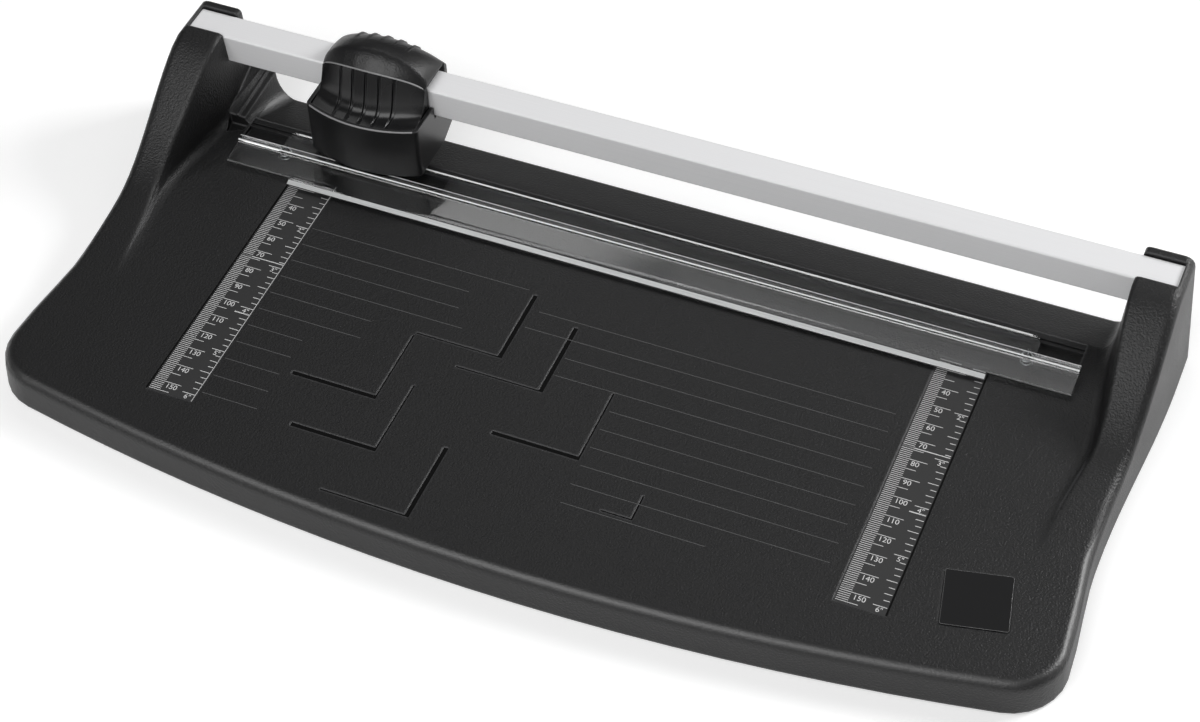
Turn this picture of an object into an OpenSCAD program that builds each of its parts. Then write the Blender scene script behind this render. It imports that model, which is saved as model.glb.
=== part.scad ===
// Sliding-head paper trimmer for A4 sheets.
// Millimetres, +X right along the rail, +Y to the back, +Z up.
// The origin is on the floor, in the middle of the object's box.

/* [Base] */
// Width of the base at the rear, on the floor
base_w = 457; // [440:1:480]
// Width at the waist of the sides
waist_w = 446; // [430:1:456]
// Width across the front corners
nose_w = 454; // [440:1:470]
// Depth from the rear wall to the middle of the curved front
base_d = 217; // [205:1:240]
// Height of the table above the floor
table_h = 17; // [15.5:0.5:22]
// Radius of the curved front edge in plan
front_r = 1120; // [800:10:2000]
// Radius of the front corners in plan
corner_r = 24; // [16:1:34]
// Rounding of the outer edges
edge_r = 4.5; // [3:0.5:6]
// Thickness of the moulded walls
wall_t = 2.5; // [2:0.1:3]
// Thickness of the ribs under the table
rib_t = 1.6; // [1.2:0.1:2.4]
// Distance between the ribs
rib_pitch = 42; // [30:1:44]
// Fall of the rear apron from the cut to the back
apron_drop = 5; // [3:0.5:6]
// Lean of the outer walls, in mm per mm of height
wall_lean = 0.08; // [0.03:0.01:0.1]
// Height that the feet lift the walls off the floor
foot_h = 1.5; // [1:0.1:2.5]
// Diameter of a rubber foot
foot_d = 13; // [10:0.5:16]
// Depth of the pocket that a foot is glued into
foot_seat = 1; // [0.5:0.1:1.5]

/* [Towers] */
// Height of the towers above the table
tower_h = 41; // [38:0.5:48]
// Run of the sloping wing in front of a tower
wing_run = 82; // [70:1:95]
// Width of a tower, from the outer foot to the inner edge
tower_w = 22.7; // [20:0.1:26]
// Width of a wing where it is narrowest
wing_toe = 14.8; // [12:0.2:18]
// Width of a wing's low tail at its front end
tail_w = 20; // [16:0.5:24]
// Height that the tail would have at the tower
tail_h = 9; // [4:0.5:12]
// Run of the low tail in front of a tower
tail_run = 112; // [95:1:116]
// Height of the ramp inside the left tower, at its rear end
shoulder_h = 11.5; // [8:0.1:14]
// Reach of that ramp's outer ridge past the tower, at its rear end
shoulder_w = 11.6; // [10:0.1:16]
// Run of the hollow curve from the ramp down to the apron, at its rear end
shoulder_run = 9.5; // [6:0.5:16]
// Height of the two thin ridges on the ramp
shoulder_rib = 0.8; // [0.4:0.1:0.9]

/* [Cut and table] */
// Distance from the cut line to the rear wall
cut_to_rear = 26; // [25.5:0.5:32]
// Distance from the base's end to the end of the trough under the blade
trough_in = 38; // [36.5:0.5:48]
// Depth of the trough
trough_depth = 2.2; // [2:0.1:2.6]
// Distance from the cut line to the front of the trough
trough_front = 12.5; // [8:0.5:15]
// Distance from the cut line to the back of the trough
trough_back = 3.2; // [3.2:0.1:4]
// Distance from the cut line to the front of the cutting strip
strip_front = 2; // [1.4:0.1:3]
// Depth of the cutting strip's top under the table
strip_sink = 0.1; // [0:0.05:0.3]
// Width of the blade's groove in the strip
strip_slot_w = 1; // [0.9:0.1:2]
// Depth of the blade's groove in the strip
strip_slot_depth = 1.6; // [1.4:0.1:1.8]
// Distance from the base's end to the middle of a ruler
ruler_in = 81.5; // [78:0.5:86]
// Width of a ruler strip
ruler_w = 20.4; // [15:0.1:22]
// First mark that a ruler shows, from the cut line
ruler_from = 24; // [20:1:27]
// Last end of a ruler, from the cut line
ruler_to = 156; // [140:1:158]
// Thickness of a ruler strip
ruler_t = 0.6; // [0.4:0.1:1]
// Depth of the table's pocket for a ruler
ruler_pocket = 0.8; // [0.8:0.1:1.2]
// Width of the broad leg of a format mark
mark_w = 1.9; // [1.2:0.1:2.4]
// Width of its narrow leg
mark_thin = 0.7; // [0.5:0.1:1.2]
// Depth of the format marks
mark_depth = 1.4; // [0.4:0.1:1.6]
// Leg of a format mark
mark_leg = 37.5; // [25:0.5:38]
// Side of the badge plate
badge_w = 26; // [20:0.5:28]
// Height of the badge plate above the table
badge_h = 0.5; // [0.3:0.1:1]
// Depth of the badge's pocket
badge_pocket = 0.7; // [0.4:0.1:1]
// Turn of the badge plate, along the front curve
badge_turn = 12; // [0:1:15]

/* [Rail] */
// Outer side of the square rail
rail_s = 14; // [12:0.5:16]
// Wall of the rail
rail_t = 1.4; // [1:0.1:2]
// Rounding of the rail's edges
rail_r = 1; // [0.6:0.1:1.4]
// Distance from the cut line to the front of the rail
rail_front = 8.5; // [8.5:0.1:10]
// Height of the rail's underside above the table
rail_lift = 25.5; // [24:0.5:32]
// Distance from the foot of the outer wall to the rail's end
rail_inset = 7.5; // [6.5:0.1:10]
// Length of a plug in the rail's end
plug_l = 16; // [12:1:24]
// Diameter of the screws' shafts
screw_d = 2.9; // [2:0.1:3.2]
// Diameter of the screws' heads
head_d = 5.2; // [4:0.1:5.6]
// Height of the screws' heads
head_h = 1.8; // [1.2:0.1:2.2]

/* [Paper clamp] */
// Distance from the base's end to the end of the clamp's bar, before its shift
clamp_in = 38.2; // [38:0.1:52]
// Distance from the base's end to the end of the clamp's rear wing, before its shift
wing_in = 57.25; // [56:0.25:76]
// Shift of the clamp's bar and wing to the right of the middle
clamp_shift = 1.8; // [0:0.1:3]
// Width of the rib
rib_w = 3.6; // [2.4:0.1:4]
// Height of the rib above the clamp's underside
rib_h = 3.5; // [2.6:0.1:3.6]
// Thickness of the clamp's rear wing
wing_t = 1.2; // [1:0.1:1.6]
// Gap under the clamp when it is pressed down
clamp_gap = 0.3; // [0.2:0.05:0.5]
// Lift of the clamp by its springs
clamp_lift = 1.2; // [0.8:0.1:1.4]
// Diameter of the clamp's guide pins
pin_d = 3.2; // [2.8:0.1:4]
// Distance from the rear wing's end to a pin
pin_inset = 3; // [2.5:0.5:12]
// Diameter of the nubs on the clamp's rib
nub_d = 3.4; // [3:0.1:4]

/* [Cutter head] */
// Place of the head along the rail, from the rail's left end
head_at = 92; // [60:1:380]
// Width of the head
head_w = 53; // [52:0.5:60]
// Reach of the head in front of the cut line
head_front = 15; // [15:0.5:18]
// Bulge of the head's front
head_bulge = 6; // [3:0.5:7]
// Bulge of the head's back
back_bulge = 1; // [0.6:0.1:1.4]
// Rounding of the head's upright corners
head_corner = 2.5; // [2:0.5:4]
// Height of the head's underside above the table
head_lift = 5.4; // [5.4:0.1:6.5]
// Height of the rim of the lower shell above the table
rim_z = 31; // [29:0.5:33]
// Wall of the lower shell
head_t = 1.7; // [1.4:0.1:2.2]
// Floor of the lower shell
floor_t = 1.6; // [1.4:0.1:2]
// Height of the cap's crown above the table
crown_z = 56; // [55:0.5:62]
// Wall of the cap
cap_t = 1.8; // [1.5:0.1:2.2]
// Number of grip grooves
groove_n = 5; // [3:1:7]
// Distance between grip grooves
groove_pitch = 6.3; // [4:0.1:6.6]
// Width of a grip groove
groove_w = 1.4; // [1:0.1:2.4]
// Depth of a grip groove
groove_depth = 0.9; // [0.4:0.1:1]
// Width of the narrow flat along the grip's ridge
ridge_flat = 0.6; // [0.3:0.1:1]
// Height of the ribs on the cap's back
back_rib_h = 0.7; // [0.4:0.1:1]
// Travel of the cap when it is pressed
press_travel = 2; // [1.5:0.1:2.2]
// Length of the sleeve on the rail
slider_l = 34; // [26:1:36]
// Wall of the sleeve
slider_t = 1.8; // [1.6:0.1:2.2]

/* [Blade] */
// Diameter of the round blade
blade_d = 28; // [25:0.5:28.6]
// Thickness of the round blade
blade_t = 0.4; // [0.3:0.1:0.6]
// Height of the blade's edge above the table at rest
blade_up = 0.9; // [0.7:0.1:1.1]
// Diameter of the hub
hub_d = 8; // [7:0.5:10]
// Diameter of the axle
axle_d = 3; // [2.5:0.1:3.5]
// Thickness of the carrier's plate
carrier_t = 3.4; // [3:0.1:3.6]
// Width of the carrier's plate
carrier_w = 16; // [14:0.5:20]

/* [Clearances] */
// Gap between the sleeve and the rail
glide_gap = 0.1; // [0.05:0.01:0.1]
// Gap between a turning part and its pin
run_gap = 0.05; // [0.02:0.01:0.1]
// Gap between the cap and the lower shell
rim_gap = 0.4; // [0.3:0.05:0.6]
// Gap between parts that only pass each other
pass_gap = 0.4; // [0.3:0.05:0.6]
// Gap around let-in strips and plugs
seat_gap = 0.1; // [0.05:0.01:0.2]

/* [Hidden] */
$fn = 64;
arc_fn = 180;
eps = 0.01;

// Stack of walls behind the rail, which sets how far the head overhangs
cap_clear = 1.6;
rail_back = rail_front + rail_s;
head_back = rail_back + glide_gap + slider_t + cap_clear + cap_t + rim_gap + head_t;
total_d = base_d + max(0, head_back - cut_to_rear);
front_y = -total_d / 2;
rear_y = front_y + base_d;
cut_y = rear_y - cut_to_rear;

// Plan of the base: waisted sides, round corners, curved front
waist_run = 95;
waist_y = cut_y - waist_run;
flare_run = 105;
nose_run = 55;
corner_x = nose_w / 2 - corner_r;
corner_y = front_y + front_r - sqrt(pow(front_r - corner_r, 2) - pow(corner_x, 2));
corner_turn = 90 - asin(corner_x / (front_r - corner_r));

// Rim of the base
rim_in = wall_lean * (table_h - edge_r - foot_h) + edge_r + 1;
wing_top_y = cut_y + min(7, rail_front - wall_t * 0.6);
wing_end_y = wing_top_y - wing_run;
tail_end_y = max(wing_top_y - tail_run, corner_y + corner_r / 2);
toe_y = wing_top_y - wing_run * 0.76;
apron_y = cut_y + trough_back + 0.6;
ridge_rx = 2;
ridge_rz = 2;
valley_rx = 4.5;
valley_rz = 4.5;
inner_lean = 0.06;

// Rail and its seat in the towers
rail_half = base_w / 2 - rail_inset;
rail_mid = rail_front + rail_s / 2;
seat_z = table_h + rail_lift;
seat_floor = 4;
screw_x = rail_half - plug_l / 2;
head_x = head_at - rail_half;
screw_clear = 0.25;
boss_d = 8;

// Feet
foot_in = 36;
foot_rear = 42;
foot_fore = 48;
foot_round = 1;
foot_x = base_w / 2 - foot_in;
foot_back_y = cut_y - foot_rear;
foot_front_y = front_y + foot_fore;

// Lengths along the cut
trough_l = base_w - 2 * trough_in;
ruler_pitch = base_w - 2 * ruler_in;
lip_l = ruler_pitch + ruler_w;
clamp_l = base_w - 2 * clamp_in;
wing_l = base_w - 2 * wing_in;

// Cutting strip
strip_t = trough_depth - strip_sink;
strip_l = trough_l - 2 * seat_gap;
strip_back = trough_back - seat_gap;

// Paper clamp: distances in front of the cut line
wing_rear = 1.6;
bead_w = 1.5;
rib_rear = 12.4;
bar_front = 27;
lip_front = 31;
lip_bevel = 2;
clamp_z = table_h + clamp_gap + clamp_lift;
pin_x = wing_l / 2 - pin_inset;
pin_y = cut_y - rib_rear - rib_w / 2 + 0.6;
pin_foot = 4.6 + foot_h;
pin_bottom = pin_foot;
pin_head_d = pin_d + 3;
spring_d = pin_d + 2.4;
spring_wire = 0.6;
spring_seat = 6;

// Heights of the head above the table
rail_top = rail_lift + rail_s;
eave_z = rail_top + press_travel + 0.5;
slider_top = rail_top + glide_gap + slider_t;
slider_bottom = rail_lift - glide_gap - slider_t;
skirt_z = rim_z - 5;
cap_half = head_w / 2 - head_t - rim_gap;
front_arc = (pow(head_w / 2, 2) + pow(head_bulge, 2)) / (2 * head_bulge);
back_arc = (pow(head_w / 2, 2) + pow(back_bulge, 2)) / (2 * back_bulge);
window_front = rail_front - 0.8;
window_back = rail_back + glide_gap + slider_t + 0.4;
window_z = rail_lift - 0.9;
crown_y = 9;
ridge_y = -0.5;
ridge_fall = 5.6;
knee_y = -4.6;
cap_shoulder = rim_z + 8;
post_x = 14;
post_d = 7;

// Blade, carrier and springs, in the head's own place
blade_z = blade_up + blade_d / 2;
slider_front = rail_front - glide_gap - slider_t;
carrier_back = slider_front - pass_gap;
carrier_front = carrier_back - carrier_t;
hub_back = carrier_front - pass_gap;
hub_front = hub_back - 3.6;
carrier_low = head_lift + floor_t + press_travel + 1;
carrier_top = blade_z + blade_d / 2 + 1;
flange_top = slider_top + 1.2;
flange_t = 2.4;
flange_front = 1.5;
flange_w = 22.4;
tongue_w = 8;
guide_w = 2;
sleeve_edge = 1.2;
guide_low = carrier_top + 0.8;
guide_top = flange_top - flange_t - press_travel - pass_gap;
cap_screw_x = 9;
cap_screw_y = (flange_front + carrier_back) / 2;
press_spring_x = 9;
press_spring_y = slider_front + 6;
press_spring_d = 6;
press_wire = 0.7;

function ease(t) = (1 - cos(180 * min(1, max(0, t)))) / 2;

// Half the width of the base on the floor
function half_w(y) =
    y > waist_y
        ? waist_w / 2 + (base_w - waist_w) / 2 * ease((y - waist_y) / flare_run)
        : waist_w / 2 + (nose_w - waist_w) / 2 * ease((waist_y - y) / nose_run);

// Height of the wing above the table: full at the tower, a soft slope in front and a low tail
function slope_h(y) = tower_h * (1 - ease(pow(min(1, (wing_top_y - y) / wing_run), 0.8)));
function wing_tail(y) = tail_h * max(0, (y - tail_end_y) / (wing_top_y - tail_end_y));
function wing_h(y) = y >= wing_top_y ? tower_h : min(tower_h, norm([slope_h(y), wing_tail(y)]));

// Distance of the ridge's inner edge from the floor outline
function ridge_in(y) =
    y > toe_y ? tower_w - (tower_w - wing_toe) * ease((wing_top_y - y) / (wing_top_y - toe_y))
    : y > tail_end_y ? wing_toe + (tail_w - wing_toe) * (toe_y - y) / (toe_y - tail_end_y)
    : tail_w - (tail_w - rim_in) * ease((tail_end_y - y) / (tail_end_y - corner_y));

// Level of the table, which falls behind the cut and rounds off at the back
function table_z(y) =
    y <= apron_y ? table_h
    : table_h - apron_drop * (y - apron_y) / (rear_y - apron_y)
        - (y > rear_y - 2 ? 2 - sqrt(max(0, 4 - pow(y - rear_y + 2, 2))) : 0);

// Rim of the base as [distance in from the floor outline, height]
function rim_profile(h, ridge, foot) =
    let (top = table_h + h, rz = min(ridge_rz, h / 2), vz = min(valley_rz, h / 2))
    let (wall_z = top - edge_r, wall_d = wall_lean * (wall_z - foot_h))
    let (valley = ridge + ridge_rx + 0.3 + inner_lean * h)
    concat(
        [[0, foot_h]],
        [for (a = [0 : 22.5 : 90]) [wall_d + edge_r * (1 - cos(a)), wall_z + edge_r * sin(a)]],
        [for (a = [0 : 30 : 90]) [ridge + ridge_rx * sin(a), top - rz * (1 - cos(a))]],
        [for (a = [0 : 30 : 90]) [valley + valley_rx * (1 - cos(a)), foot + vz * (1 - sin(a))]]
    );

// Stations down one side, from the rear wall to the front corner
side_ys = concat(
    [rear_y, rear_y - 0.3, rear_y - 1, rear_y - 2],
    [(rear_y + apron_y) / 2, wing_top_y + 3, apron_y],
    [for (i = [1 : 14]) apron_y + (wing_end_y - apron_y) * i / 14],
    [for (i = [1 : 4]) wing_end_y + (tail_end_y - wing_end_y) * i / 4],
    [for (i = [1 : 3]) tail_end_y + (corner_y - tail_end_y) * i / 3]
);

// One entry for each point of the plan: place, way in, wing height, ridge, table level
function side_row(y, s) = [[s * half_w(y), y], [-s, 0], wing_h(y), ridge_in(y), table_z(y)];
function corner_row(a, s) =
    [
        [s * (corner_x + corner_r * cos(a)), corner_y - corner_r * sin(a)],
        [-s * cos(a), sin(a)], 0, rim_in, table_h
    ];
function front_row(a) =
    [[front_r * sin(a), front_y + front_r * (1 - cos(a))], [-sin(a), cos(a)], 0, rim_in, table_h];
front_turn = 90 - corner_turn;
half_rows = concat(
    [for (y = side_ys) side_row(y, 1)],
    [for (i = [1 : 6]) corner_row(corner_turn * i / 6, 1)],
    [for (i = [1 : 9]) front_row(front_turn * (1 - i / 10))]
);
left_rows = concat(
    [for (y = side_ys) side_row(y, -1)],
    [for (i = [1 : 6]) corner_row(corner_turn * i / 6, -1)],
    [for (i = [1 : 9]) front_row(-front_turn * (1 - i / 10))]
);
rows = concat(half_rows, [front_row(0)], [for (i = [len(left_rows) - 1 : -1 : 0]) left_rows[i]]);
rim_n = len(rim_profile(0, rim_in, table_h));

// Outer skin of the base: the rim profile carried round the plan, then the table, the underside
// and the rear wall, all in strips from the right half to the left half
module base_skin() {
    n = len(rows);
    mid = (n - 1) / 2;
    last = rim_n - 1;
    points = [
        for (r = rows)
            for (p = rim_profile(r[2], r[3], r[4]))
                [r[0].x + r[1].x * p[0], r[0].y + r[1].y * p[0], p[1]]
    ];
    function id(i, k) = i * rim_n + k;
    rim = [
        for (i = [0 : n - 2]) for (k = [0 : last - 1])
            [id(i + 1, k), id(i + 1, k + 1), id(i, k + 1), id(i, k)]
    ];
    table = [
        for (i = [0 : mid - 2])
            [id(i, last), id(i + 1, last), id(n - 2 - i, last), id(n - 1 - i, last)]
    ];
    under = [
        for (i = [0 : mid - 2])
            [id(n - 1 - i, 0), id(n - 2 - i, 0), id(i + 1, 0), id(i, 0)]
    ];
    tips = [
        [id(mid - 1, last), id(mid, last), id(mid + 1, last)],
        [id(mid + 1, 0), id(mid, 0), id(mid - 1, 0)]
    ];
    rear = [
        [for (k = [0 : last]) id(0, k)],
        [id(0, 0), id(0, last), id(n - 1, last), id(n - 1, 0)],
        concat([id(n - 1, 0)], [for (k = [last : -1 : 1]) id(n - 1, k)])
    ];
    polyhedron(points, concat(rim, table, under, tips, rear), convexity = 10);
}

// Plan of the hollow under the table, a wall inside the outline
hollow_in = wall_t + wall_lean * table_h;
module hollow_plan() {
    right = concat(
        [for (y = side_ys) if (y < rear_y - hollow_in) [half_w(y) - hollow_in, y]],
        [for (i = [1 : 6]) let (a = corner_turn * i / 6)
            [corner_x + (corner_r - hollow_in) * cos(a), corner_y - (corner_r - hollow_in) * sin(a)]],
        [for (i = [1 : 10]) let (a = front_turn * (1 - i / 10))
            [(front_r - hollow_in) * sin(a), front_y + front_r - (front_r - hollow_in) * cos(a)]]
    );
    polygon(concat(right, [for (i = [len(right) - 2 : -1 : 0]) [-right[i].x, right[i].y]]));
}

// Posts left standing in the hollow, for the feet, the clamp's pins and the rail's screws
module hollow_posts() {
    for (s = [-1, 1]) {
        for (y = [foot_front_y, foot_back_y])
            translate([s * foot_x, y, 0])
                cylinder(d = foot_d + 2 * wall_t, h = table_h);
        translate([s * pin_x + clamp_shift, pin_y, pin_foot])
            cylinder(d = spring_d + 2 * wall_t, h = table_h);
        translate([s * screw_x, cut_y + rail_mid, seat_z - seat_floor - boss_d])
            cylinder(d = boss_d + 2, h = boss_d + seat_floor);
    }
}

// Hollow under the table: shallow under the cut, deep in front, cut into cells by ribs
module base_hollow() {
    step_y = cut_y - bar_front - 8;
    rear_top = table_h - max(apron_drop, trough_depth) - wall_t;
    columns = floor((base_w / 2) / rib_pitch);
    lines = floor(base_d / rib_pitch);
    difference() {
        intersection() {
            translate([0, 0, -eps]) linear_extrude(table_h) hollow_plan();
            union() {
                translate([-base_w / 2, front_y, -eps])
                    cube([base_w, step_y - front_y, table_h - wall_t + eps]);
                translate([-base_w / 2, step_y - eps, -eps])
                    cube([base_w, rear_y - step_y, rear_top + eps]);
            }
        }
        for (i = [-columns : columns])
            translate([i * rib_pitch - rib_t / 2, front_y, foot_h]) cube([rib_t, base_d, table_h]);
        for (i = [1 : lines])
            translate([-base_w / 2, rear_y - i * rib_pitch, foot_h]) cube([base_w, rib_t, table_h]);
        hollow_posts();
    }
    // Hollow of the towers, up to the floor of the rail's seat
    for (s = [-1, 1])
        difference() {
            translate([s * (base_w / 2 - tower_w / 2 - 2) - tower_w / 2 + wall_t + 1.2, cut_y - 8, -eps])
                cube([tower_w - 2 * wall_t - 3.4, cut_to_rear + 8 - wall_t, seat_z - seat_floor + eps]);
            hollow_posts();
        }
}

// Two legs of a format mark, with the corner at [across, deep] from the left ruler and the cut:
// one leg lies along the cut, the other runs to it, each with its own width
module format_mark(across, deep, leg, along_w, to_w) {
    x = across - ruler_pitch / 2 - ruler_w / 2;
    translate([x - leg, cut_y - deep - along_w / 2, table_h - mark_depth])
        cube([leg + to_w / 2, along_w, mark_depth + 1]);
    translate([x - to_w / 2, cut_y - deep - along_w / 2, table_h - mark_depth])
        cube([to_w, leg, mark_depth + 1]);
}

// Marks as [across, deep, 1 where the broad leg is the one that runs to the cut]
format_marks = [[127, 89, 1], [150, 100, 1], [89, 127, 0], [101, 152, 0], [178, 127, 0], [127, 178, 1]];
small_mark = [209, 148];
small_leg = 13;

module ruler_place(s) {
    translate([s * ruler_pitch / 2 - ruler_w / 2, cut_y - ruler_to, table_h - ruler_pocket])
        children();
}

// The badge's middle lies at this share of the way from the right ruler to the base's end
badge_share = 0.427;
badge_fore = 54;
badge_r = 0.8;
ruler_edge = (ruler_pitch + ruler_w) / 2;
badge_x = ruler_edge + badge_share * (nose_w / 2 - ruler_edge);
module badge_place() {
    translate([badge_x, front_y + badge_fore, table_h - badge_pocket])
        rotate(badge_turn) children();
}

module base_housing() {
    color([0.09, 0.09, 0.095])
    difference() {
        union() {
            base_skin();
            left_shoulder();
        }
        base_hollow();
        // Open-topped seats for the rail
        for (s = [-1, 1])
            translate([s > 0 ? 0 : -rail_half - seat_gap, cut_y + rail_front - seat_gap, seat_z])
                cube([rail_half + seat_gap, rail_s + 2 * seat_gap, tower_h]);
        // Screw holes under the rail's ends
        for (s = [-1, 1])
            translate([s * screw_x, cut_y + rail_mid, seat_z - seat_floor - boss_d - 1]) {
                cylinder(d = screw_d + 2 * screw_clear, h = seat_floor + boss_d + 2);
                cylinder(d = head_d + 2 * screw_clear, h = boss_d + 1);
            }
        // Trough for the cutting strip and the clamp's rear wing
        translate([-trough_l / 2, cut_y - trough_front, table_h - trough_depth])
            cube([trough_l, trough_front + trough_back, trough_depth + 1]);
        // Guide holes and spring pockets for the clamp, with room for the screws' heads below
        for (s = [-1, 1])
            translate([s * pin_x + clamp_shift, pin_y, 0]) {
                cylinder(d = pin_d + 2 * run_gap, h = table_h + 1);
                translate([0, 0, -eps]) cylinder(d = pin_head_d + 4 * pass_gap, h = pin_foot + eps);
                translate([0, 0, table_h - spring_seat]) cylinder(d = spring_d + 1, h = spring_seat + 1);
            }
        // Pockets for the rulers, the badge and the feet
        for (s = [-1, 1])
            ruler_place(s)
                translate([-seat_gap, -seat_gap, 0])
                    cube([ruler_w + 2 * seat_gap, ruler_to - ruler_from + 2 * seat_gap, ruler_pocket + 1]);
        badge_place()
            linear_extrude(badge_pocket + 1)
                rounded_square(badge_w + 2 * seat_gap, badge_r + seat_gap);
        foot_places() translate([0, 0, -1]) cylinder(d = foot_d + 2 * seat_gap, h = foot_h + foot_seat + 1);
        // Pocket in front of the left tower's ramp
        translate([shoulder_x, shoulder_from, table_h - trough_depth])
            linear_extrude(trough_depth + ramp_rise[0])
                polygon([[7, -8], [13.8, -4], [14.4, 0.1], [5, 0.1]]);
        // Format marks on the table
        for (m = format_marks)
            format_mark(m[0], m[1], mark_leg, m[2] ? mark_thin : mark_w, m[2] ? mark_w : mark_thin);
        format_mark(small_mark[0], small_mark[1], small_leg, mark_thin, mark_thin);
    }
}

// Ramp inside the left tower: two thin ridges that climb to the rear, and a hollow curve
// down to the apron. Sections as [x, z] run from the tower's inside to the curve's foot
shoulder_from = cut_y - 1;
shoulder_to = rear_y - 1.2;
shoulder_x = tower_w - base_w / 2;
ridge_gap = 2.2;
ridge_foot = 1;
ridge_top = 0.25;
ramp_front = [4, 8.7];
ramp_rise = [4.4, 3.8];
ramp_ledge = 3.8;
ramp_toe = 4.5;
function ramp_section(t) =
    let (y = shoulder_from + (shoulder_to - shoulder_from) * t)
    let (x1 = shoulder_x + ramp_front[0] + (shoulder_w - ridge_gap - ramp_front[0]) * t)
    let (x2 = shoulder_x + ramp_front[1] + (shoulder_w - ramp_front[1]) * t)
    let (z1 = table_h + ramp_rise[0] + (shoulder_h - ramp_rise[0]) * t, f1 = z1 - shoulder_rib)
    let (z2 = table_h + ramp_rise[1] + (shoulder_h - 1.2 - ramp_rise[1]) * t, f2 = z2 - shoulder_rib)
    let (x3 = x2 + ramp_ledge, toe = x3 + ramp_toe + (shoulder_run - ramp_toe) * t)
    let (toe_z = table_z(y) - 0.1)
    let (low = table_h - apron_drop - 8, in = shoulder_x - 2.2)
    concat(
        [[in, low], [in, z1 + 2], [x1 - ridge_foot, f1], [x1 - ridge_top, z1], [x1 + ridge_top, z1]],
        [[x1 + ridge_foot, f1], [x2 - ridge_foot, f2], [x2 - ridge_top, z2], [x2 + ridge_top, z2]],
        [[x2 + ridge_foot, f2]],
        [for (a = [0 : 15 : 90]) [toe - (toe - x3) * cos(a), toe_z + (f2 - 0.2 - toe_z) * (1 - sin(a))]],
        [[toe, low]]
    );

module left_shoulder() {
    steps = 6;
    sections = [for (i = [0 : steps]) ramp_section(i / steps)];
    m = len(sections[0]);
    points = [
        for (i = [0 : steps])
            for (p = sections[i]) [p.x, shoulder_from + (shoulder_to - shoulder_from) * i / steps, p.y]
    ];
    faces = concat(
        [for (i = [0 : steps - 1]) for (k = [0 : m - 1])
            [i * m + k, (i + 1) * m + k, (i + 1) * m + (k + 1) % m, i * m + (k + 1) % m]],
        [[for (k = [0 : m - 1]) k]],
        [concat([steps * m], [for (k = [m - 1 : -1 : 1]) steps * m + k])]
    );
    polyhedron(points, faces, convexity = 6);
}

module foot_places() {
    for (s = [-1, 1])
        for (y = [foot_front_y, foot_back_y])
            translate([s * foot_x, y, 0]) children();
}

module rubber_feet() {
    color([0.14, 0.14, 0.15])
    foot_places()
        rotate_extrude()
            polygon([
                [0, 0], [foot_d / 2 - foot_round, 0], [foot_d / 2, foot_round],
                [foot_d / 2, foot_h + foot_seat], [0, foot_h + foot_seat]
            ]);
}

// Square with round corners, centred
module rounded_square(s, r) {
    square([s - 2 * r, s], center = true);
    square([s, s - 2 * r], center = true);
    for (x = [-1, 1])
        for (y = [-1, 1])
            translate([x * (s / 2 - r), y * (s / 2 - r)]) circle(r, $fn = 32);
}

// Along the rail: the children's X goes to the back, their Y goes up
module along_rail(length) {
    translate([-length / 2, cut_y + rail_mid, seat_z + rail_s / 2])
        rotate([90, 0, 90]) linear_extrude(length) children();
}

module guide_rail() {
    color([0.82, 0.83, 0.84])
    difference() {
        along_rail(2 * rail_half)
            difference() {
                rounded_square(rail_s, rail_r);
                square(rail_s - 2 * rail_t, center = true);
            }
        for (s = [-1, 1])
            translate([s * screw_x, cut_y + rail_mid, seat_z - 1])
                cylinder(d = screw_d + 2 * screw_clear, h = rail_t + 2);
    }
}

module rail_plugs() {
    side = rail_s - 2 * rail_t - 2 * seat_gap;
    color([0.2, 0.2, 0.21])
    for (s = [-1, 1])
        difference() {
            translate([s * (rail_half - plug_l / 2), cut_y + rail_mid, seat_z + rail_s / 2])
                cube([plug_l, side, side], center = true);
            translate([s * screw_x, cut_y + rail_mid, seat_z])
                cylinder(d = screw_d + 2 * run_gap, h = rail_s - rail_t - 2);
        }
}

// Self-tapping screw with its head down, the shaft's tip up
module screw(length) {
    cylinder(d = head_d, h = head_h);
    cylinder(d = screw_d, h = head_h + length - screw_d / 2);
    translate([0, 0, head_h + length - screw_d / 2])
        cylinder(d1 = screw_d, d2 = screw_d / 3, h = screw_d / 2);
}

module rail_screws() {
    color([0.7, 0.7, 0.72])
    for (s = [-1, 1])
        translate([s * screw_x, cut_y + rail_mid, seat_z - seat_floor - head_h])
            screw(seat_floor + rail_s - rail_t - 3);
}

module cutting_strip() {
    color([0.16, 0.16, 0.17])
    difference() {
        translate([-strip_l / 2, cut_y - strip_front, table_h - trough_depth])
            cube([strip_l, strip_front + strip_back, strip_t]);
        translate([-strip_l / 2 - 1, cut_y - strip_slot_w / 2, table_h - strip_sink - strip_slot_depth])
            cube([strip_l + 2, strip_slot_w, strip_t]);
    }
}

module ruler_strip(s) {
    color([0.07, 0.07, 0.075])
    ruler_place(s) cube([ruler_w, ruler_to - ruler_from, ruler_t]);
}

module left_ruler() {
    ruler_strip(-1);
}

module right_ruler() {
    ruler_strip(1);
}

module badge_plate() {
    color([0.02, 0.02, 0.022])
    badge_place()
        linear_extrude(badge_pocket + badge_h) rounded_square(badge_w, badge_r);
}

// Bar of the clamp's section, drawn with X towards the front and Y up
module clamp_run(length, shift) {
    translate([length / 2 + shift, cut_y, clamp_z])
        rotate([90, 0, -90]) linear_extrude(length) children();
}

// Quarter circle of points about a centre, from a start angle
function round_corner(c, r, from) =
    [for (a = [from : 22.5 : from + 90]) c + r * [cos(a), sin(a)]];

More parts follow.
